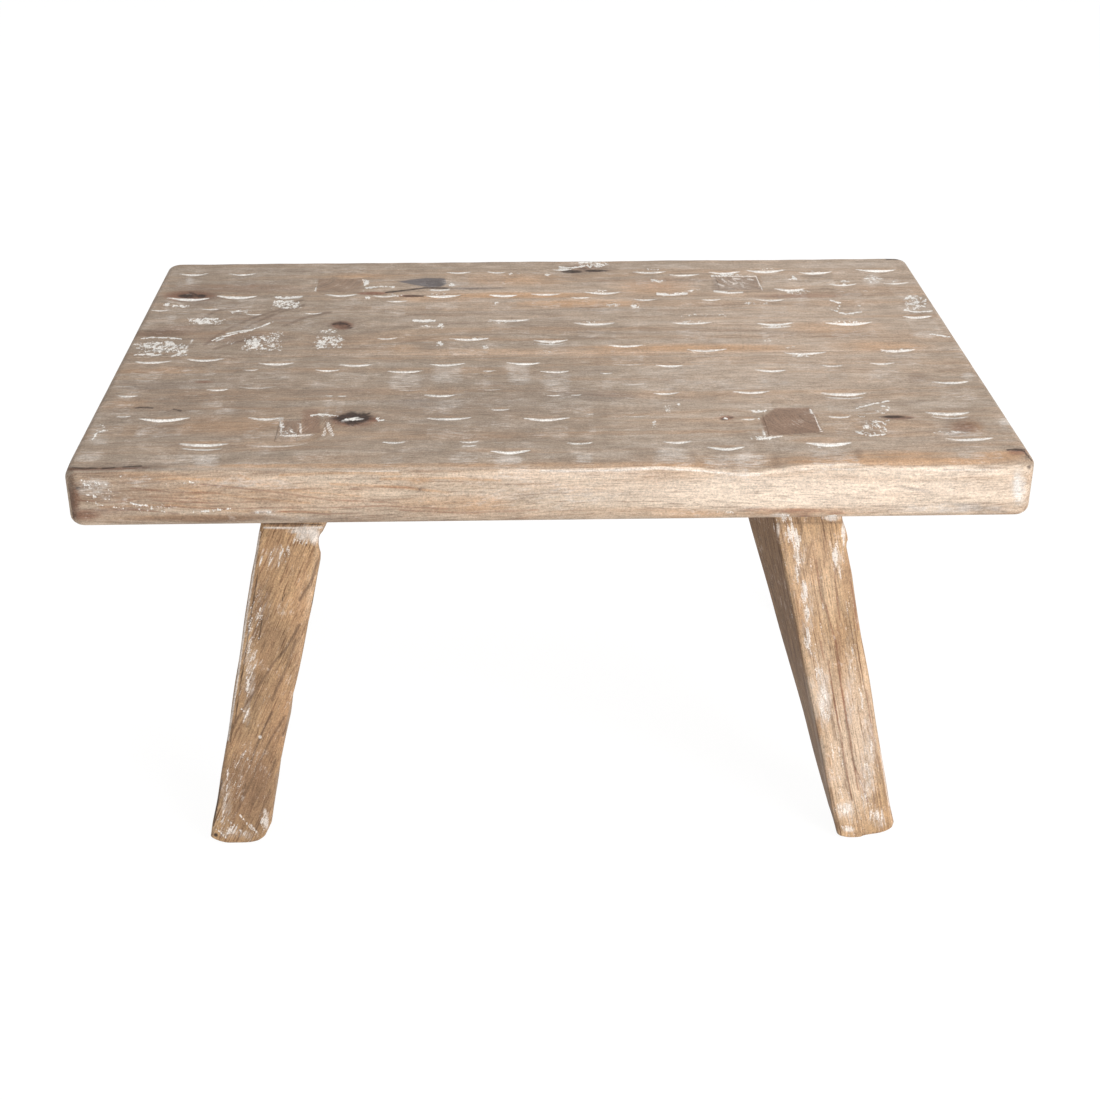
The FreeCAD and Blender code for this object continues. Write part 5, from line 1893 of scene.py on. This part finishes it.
    def make(self) -> bpy.types.Material:
        """Writes the material.

        Returns:
            The material.
        """
        shader = Shader(bpy.data.materials.new(self.name))
        n = self.noises(shader)
        parts = {name: shader.parts(shader.attribute(name)) for name in ATTRIBUTES}
        named = {mark.name.lower(): parts[mark.value[0]][mark.value[1]] for mark in Pigment}
        m = SimpleNamespace(**named)
        colour = shader.mix(m.top, linear(self.side), linear(self.top))
        for share, tint in self.bare_layers(n, m) + self.mark_layers(n, m):
            colour = shader.mix(share, colour, linear(tint))
        broken = (m.speck + (n.chips - 0.5) * 1.3 + (n.grit - 0.5) * 0.7).ramp(0.46, 0.62)
        crisp = (m.white * ((n.scuff - 0.5) * 1.2 + (n.grit - 0.5) * 0.8 + 1.0)).ramp(0.1, 0.9)
        filler = shader.math("MAXIMUM", broken * 0.92, crisp * 0.96)
        colour = shader.mix(filler, colour, linear(self.white))
        tone = (n.fibres - 0.5) * 0.5 + (n.grit - 0.5) * self.grit_share + (n.mottle - 0.5) * 0.25
        tone = (tone + (n.dashes - 0.5) * 0.4 + (n.patches - 0.5) * 0.4) * self.contrast + 1.0
        lit = shader.node("ShaderNodeVectorMath", {"operation": "SCALE"}, {0: colour, "Scale": tone})
        height = n.streaks * 0.5 + n.fibres * 0.35 + filler * 0.3 + n.grit * 0.2
        inputs = {"Strength": self.bump, "Distance": self.bump_depth, "Height": height}
        bump = shader.node("ShaderNodeBump", None, inputs)
        rough = self.roughness + (n.grit - 0.5) * 0.2 + filler * 0.12
        return shader.finish({"Base Color": lit.outputs[0], "Roughness": rough, "Normal": bump.outputs[0],
                              "Specular IOR Level": self.shine})


# The top colour is darker and greyer than the sides': partly the whitewashed top's own colour, partly painted
# shade, for a top that takes less light than the front face.
SEAT_WOOD = WoodFinish("seat_wood", side=(204, 184, 163), top=(166, 149, 132), streak=(128, 102, 84))
LEG_WOOD = WoodFinish(
    "leg_wood", side=(202, 166, 126), top=(166, 148, 130), streak=(112, 78, 54),
    streak_size=(45.0, 1.8, 1.8), line_size=(38.0, 1.0, 1.0), speck_size=(7.0, 1.2, 1.2),
    streak_share=0.8, stray_white=0.4, pale=(226, 202, 178), haze=(214, 200, 188), white=(230, 219, 209),
    line_share=0.95, pore_share=0.5, contrast=1.5, bump=0.5,
)
WEDGE_WOOD = WoodFinish("wedge_wood", side=(150, 122, 100), top=(162, 144, 128), streak=(118, 92, 76))


def dress(piece: bpy.types.Object, material: bpy.types.Material) -> None:
    """Gives a piece one material."""
    piece.data.materials.clear()
    piece.data.materials.append(material)


@dataclass(frozen=True)
class DowelWood:
    """Plain turned wood of the hidden dowels."""

    colour: Colour = (214, 190, 156)
    streak: Colour = (184, 154, 116)
    streak_size: Size = (0.8, 18.0, 0.8)
    roughness: float = 0.6

    def make(self) -> bpy.types.Material:
        """Writes the material.

        Returns:
            The material.
        """
        shader = Shader(bpy.data.materials.new("dowel_wood"))
        streaks = shader.noise(shader.place(), self.streak_size)
        colour = shader.mix(streaks.ramp(0.35, 0.7), linear(self.colour), linear(self.streak))
        return shader.finish({"Base Color": colour, "Roughness": self.roughness})


@dataclass(frozen=True)
class Lamp:
    """A large soft lamp."""

    name: str
    place: Size
    size: float
    power: float
    target: Size = (0.0, 0.0, 0.15)

    def make(self) -> None:
        """Makes the lamp, aimed at the middle of the stool."""
        data = bpy.data.lights.new(self.name, "AREA")
        data.shape = "DISK"
        data.size = self.size
        data.energy = self.power
        lamp = bpy.data.objects.new(self.name, data)
        lamp.location = self.place
        aim = np.array(self.target) - np.array(self.place)
        yaw = math.atan2(aim[1], aim[0]) - math.pi / 2
        lift = math.atan2(math.hypot(aim[0], aim[1]), -aim[2])
        lamp.rotation_euler = (lift, 0.0, yaw)
        bpy.context.scene.collection.objects.link(lamp)


@dataclass(frozen=True)
class Studio:
    """The white floor, the white surround and the lamps."""

    floor_half: float = 6.0
    floor_grey: float = 0.85
    floor_glow: float = 1.08
    ambient: float = 0.45
    shadow_share: float = 0.12
    lamps: tuple[Lamp, ...] = (
        Lamp("key", (1.3, -1.6, 0.9), 1.2, 33.0),
        Lamp("overhead", (0.2, 0.2, 1.9), 1.6, 13.0),
    )

    def make(self) -> None:
        """Makes the studio."""
        self.make_floor()
        self.make_world()
        for lamp in self.lamps:
            lamp.make()

    def make_floor(self) -> None:
        """Makes the floor, white to the camera but for the object's soft shadow."""
        half = self.floor_half
        mesh = bpy.data.meshes.new("floor")
        corners = [(-half, -half, 0), (half, -half, 0), (half, half, 0), (-half, half, 0)]
        mesh.from_pydata(corners, [], [(0, 1, 2, 3)])
        floor = bpy.data.objects.new("floor", mesh)
        bpy.context.scene.collection.objects.link(floor)
        shader = Shader(bpy.data.materials.new("floor_white"))
        matt = shader.node("ShaderNodeBsdfDiffuse", None, {"Color": (*[self.floor_grey] * 3, 1.0)})
        glow = shader.node("ShaderNodeEmission", None, {"Color": WHITE, "Strength": self.floor_glow})
        seen = self.seen(shader) * (1 - self.shadow_share)
        mixed = shader.node("ShaderNodeMixShader", None, {0: seen, 1: matt.outputs[0], 2: glow.outputs[0]})
        shader.node("ShaderNodeOutputMaterial", None, {"Surface": mixed.outputs[0]})
        dress(floor, shader.owner)

    @staticmethod
    def seen(shader: Shader) -> Sum:
        """Tells whether a ray comes from the camera or by way of a glossy or clear surface.

        Args:
            shader: The shader.

        Returns:
            1 for such a ray, otherwise 0.
        """
        path = shader.node("ShaderNodeLightPath").outputs
        rays = [Sum(shader, path[name]) for name in ("Is Camera Ray", "Is Glossy Ray", "Is Transmission Ray")]
        return shader.math("MINIMUM", rays[0] + rays[1] + rays[2], 1.0)

    def make_world(self) -> None:
        """Makes the surround: white to the camera, plain soft light to the object."""
        shader = Shader(bpy.data.worlds.new("surround"))
        bpy.context.scene.world = shader.owner
        seen = shader.node("ShaderNodeLightPath").outputs["Is Camera Ray"]
        strength = shader.node("ShaderNodeMix", None, {0: seen, 2: self.ambient, 3: 1.0}).outputs[0]
        background = shader.node("ShaderNodeBackground", None, {"Color": WHITE, "Strength": strength})
        shader.node("ShaderNodeOutputWorld", None, {"Surface": background.outputs[0]})


class Stool:
    """The whole stool."""

    def __init__(self) -> None:
        """Lists the pieces."""
        carving = Carving(top=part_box("seat_front_plank")[1][2] / MM)
        self.planks = (
            Plank("seat_front_plank", True, carving, side_rows=30),
            Plank("seat_rear_plank", False, carving),
        )
        # shaded_sides paints shade onto a leg's left or right side.
        self.legs = (
            Leg("front_left_leg", -1, -1, 52.0, carving, LEFT_LEG_MARKS, wedged=True, slant=0.25,
                notch_rise=9.0, cells=48, rows=300, shaded_sides=(0.0, 0.4), left_edge=LEFT_LEG_LEFT,
                right_edge=LEFT_LEG_RIGHT),
            Leg("front_right_leg", 1, -1, 54.5, carving, RIGHT_LEG_MARKS, flare=16.5, cells=48, rows=300,
                shaded_sides=(1.05, 0.0), foot_shift=(1.4, -3.2), foot_skew=2.2, left_edge=RIGHT_LEG_LEFT,
                right_edge=RIGHT_LEG_RIGHT),
            Leg("rear_left_leg", -1, 1, 62.0, carving),
            Leg("rear_right_leg", 1, 1, 63.0, carving, shaded_sides=(0.6, 0.0)),
        )
        self.wedge = Wedge("front_left_tenon_wedge", carving)

    def make(self, nodes: dict[str, bpy.types.Object]) -> None:
        """Makes and dresses every piece.

        Args:
            nodes: The CAD nodes by name.
        """
        seat, legs, wedge = SEAT_WOOD.make(), LEG_WOOD.make(), WEDGE_WOOD.make()
        for plank in self.planks:
            dress(plank.make(), seat)
        for leg in self.legs:
            dress(leg.make(), legs)
        dress(self.wedge.make(), wedge)
        dress(nodes["plank_dowels"], DowelWood().make())
        log.info("plank_dowels: the CAD's own mesh")


def main() -> None:
    """Builds the scene."""
    logging.basicConfig(level=logging.INFO)
    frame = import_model()
    CAMERA.make()
    Stool().make(frame["nodes"])
    Studio().make()
    bpy.context.scene.view_settings.view_transform = "Standard"


if __name__ == "__main__":
    main()
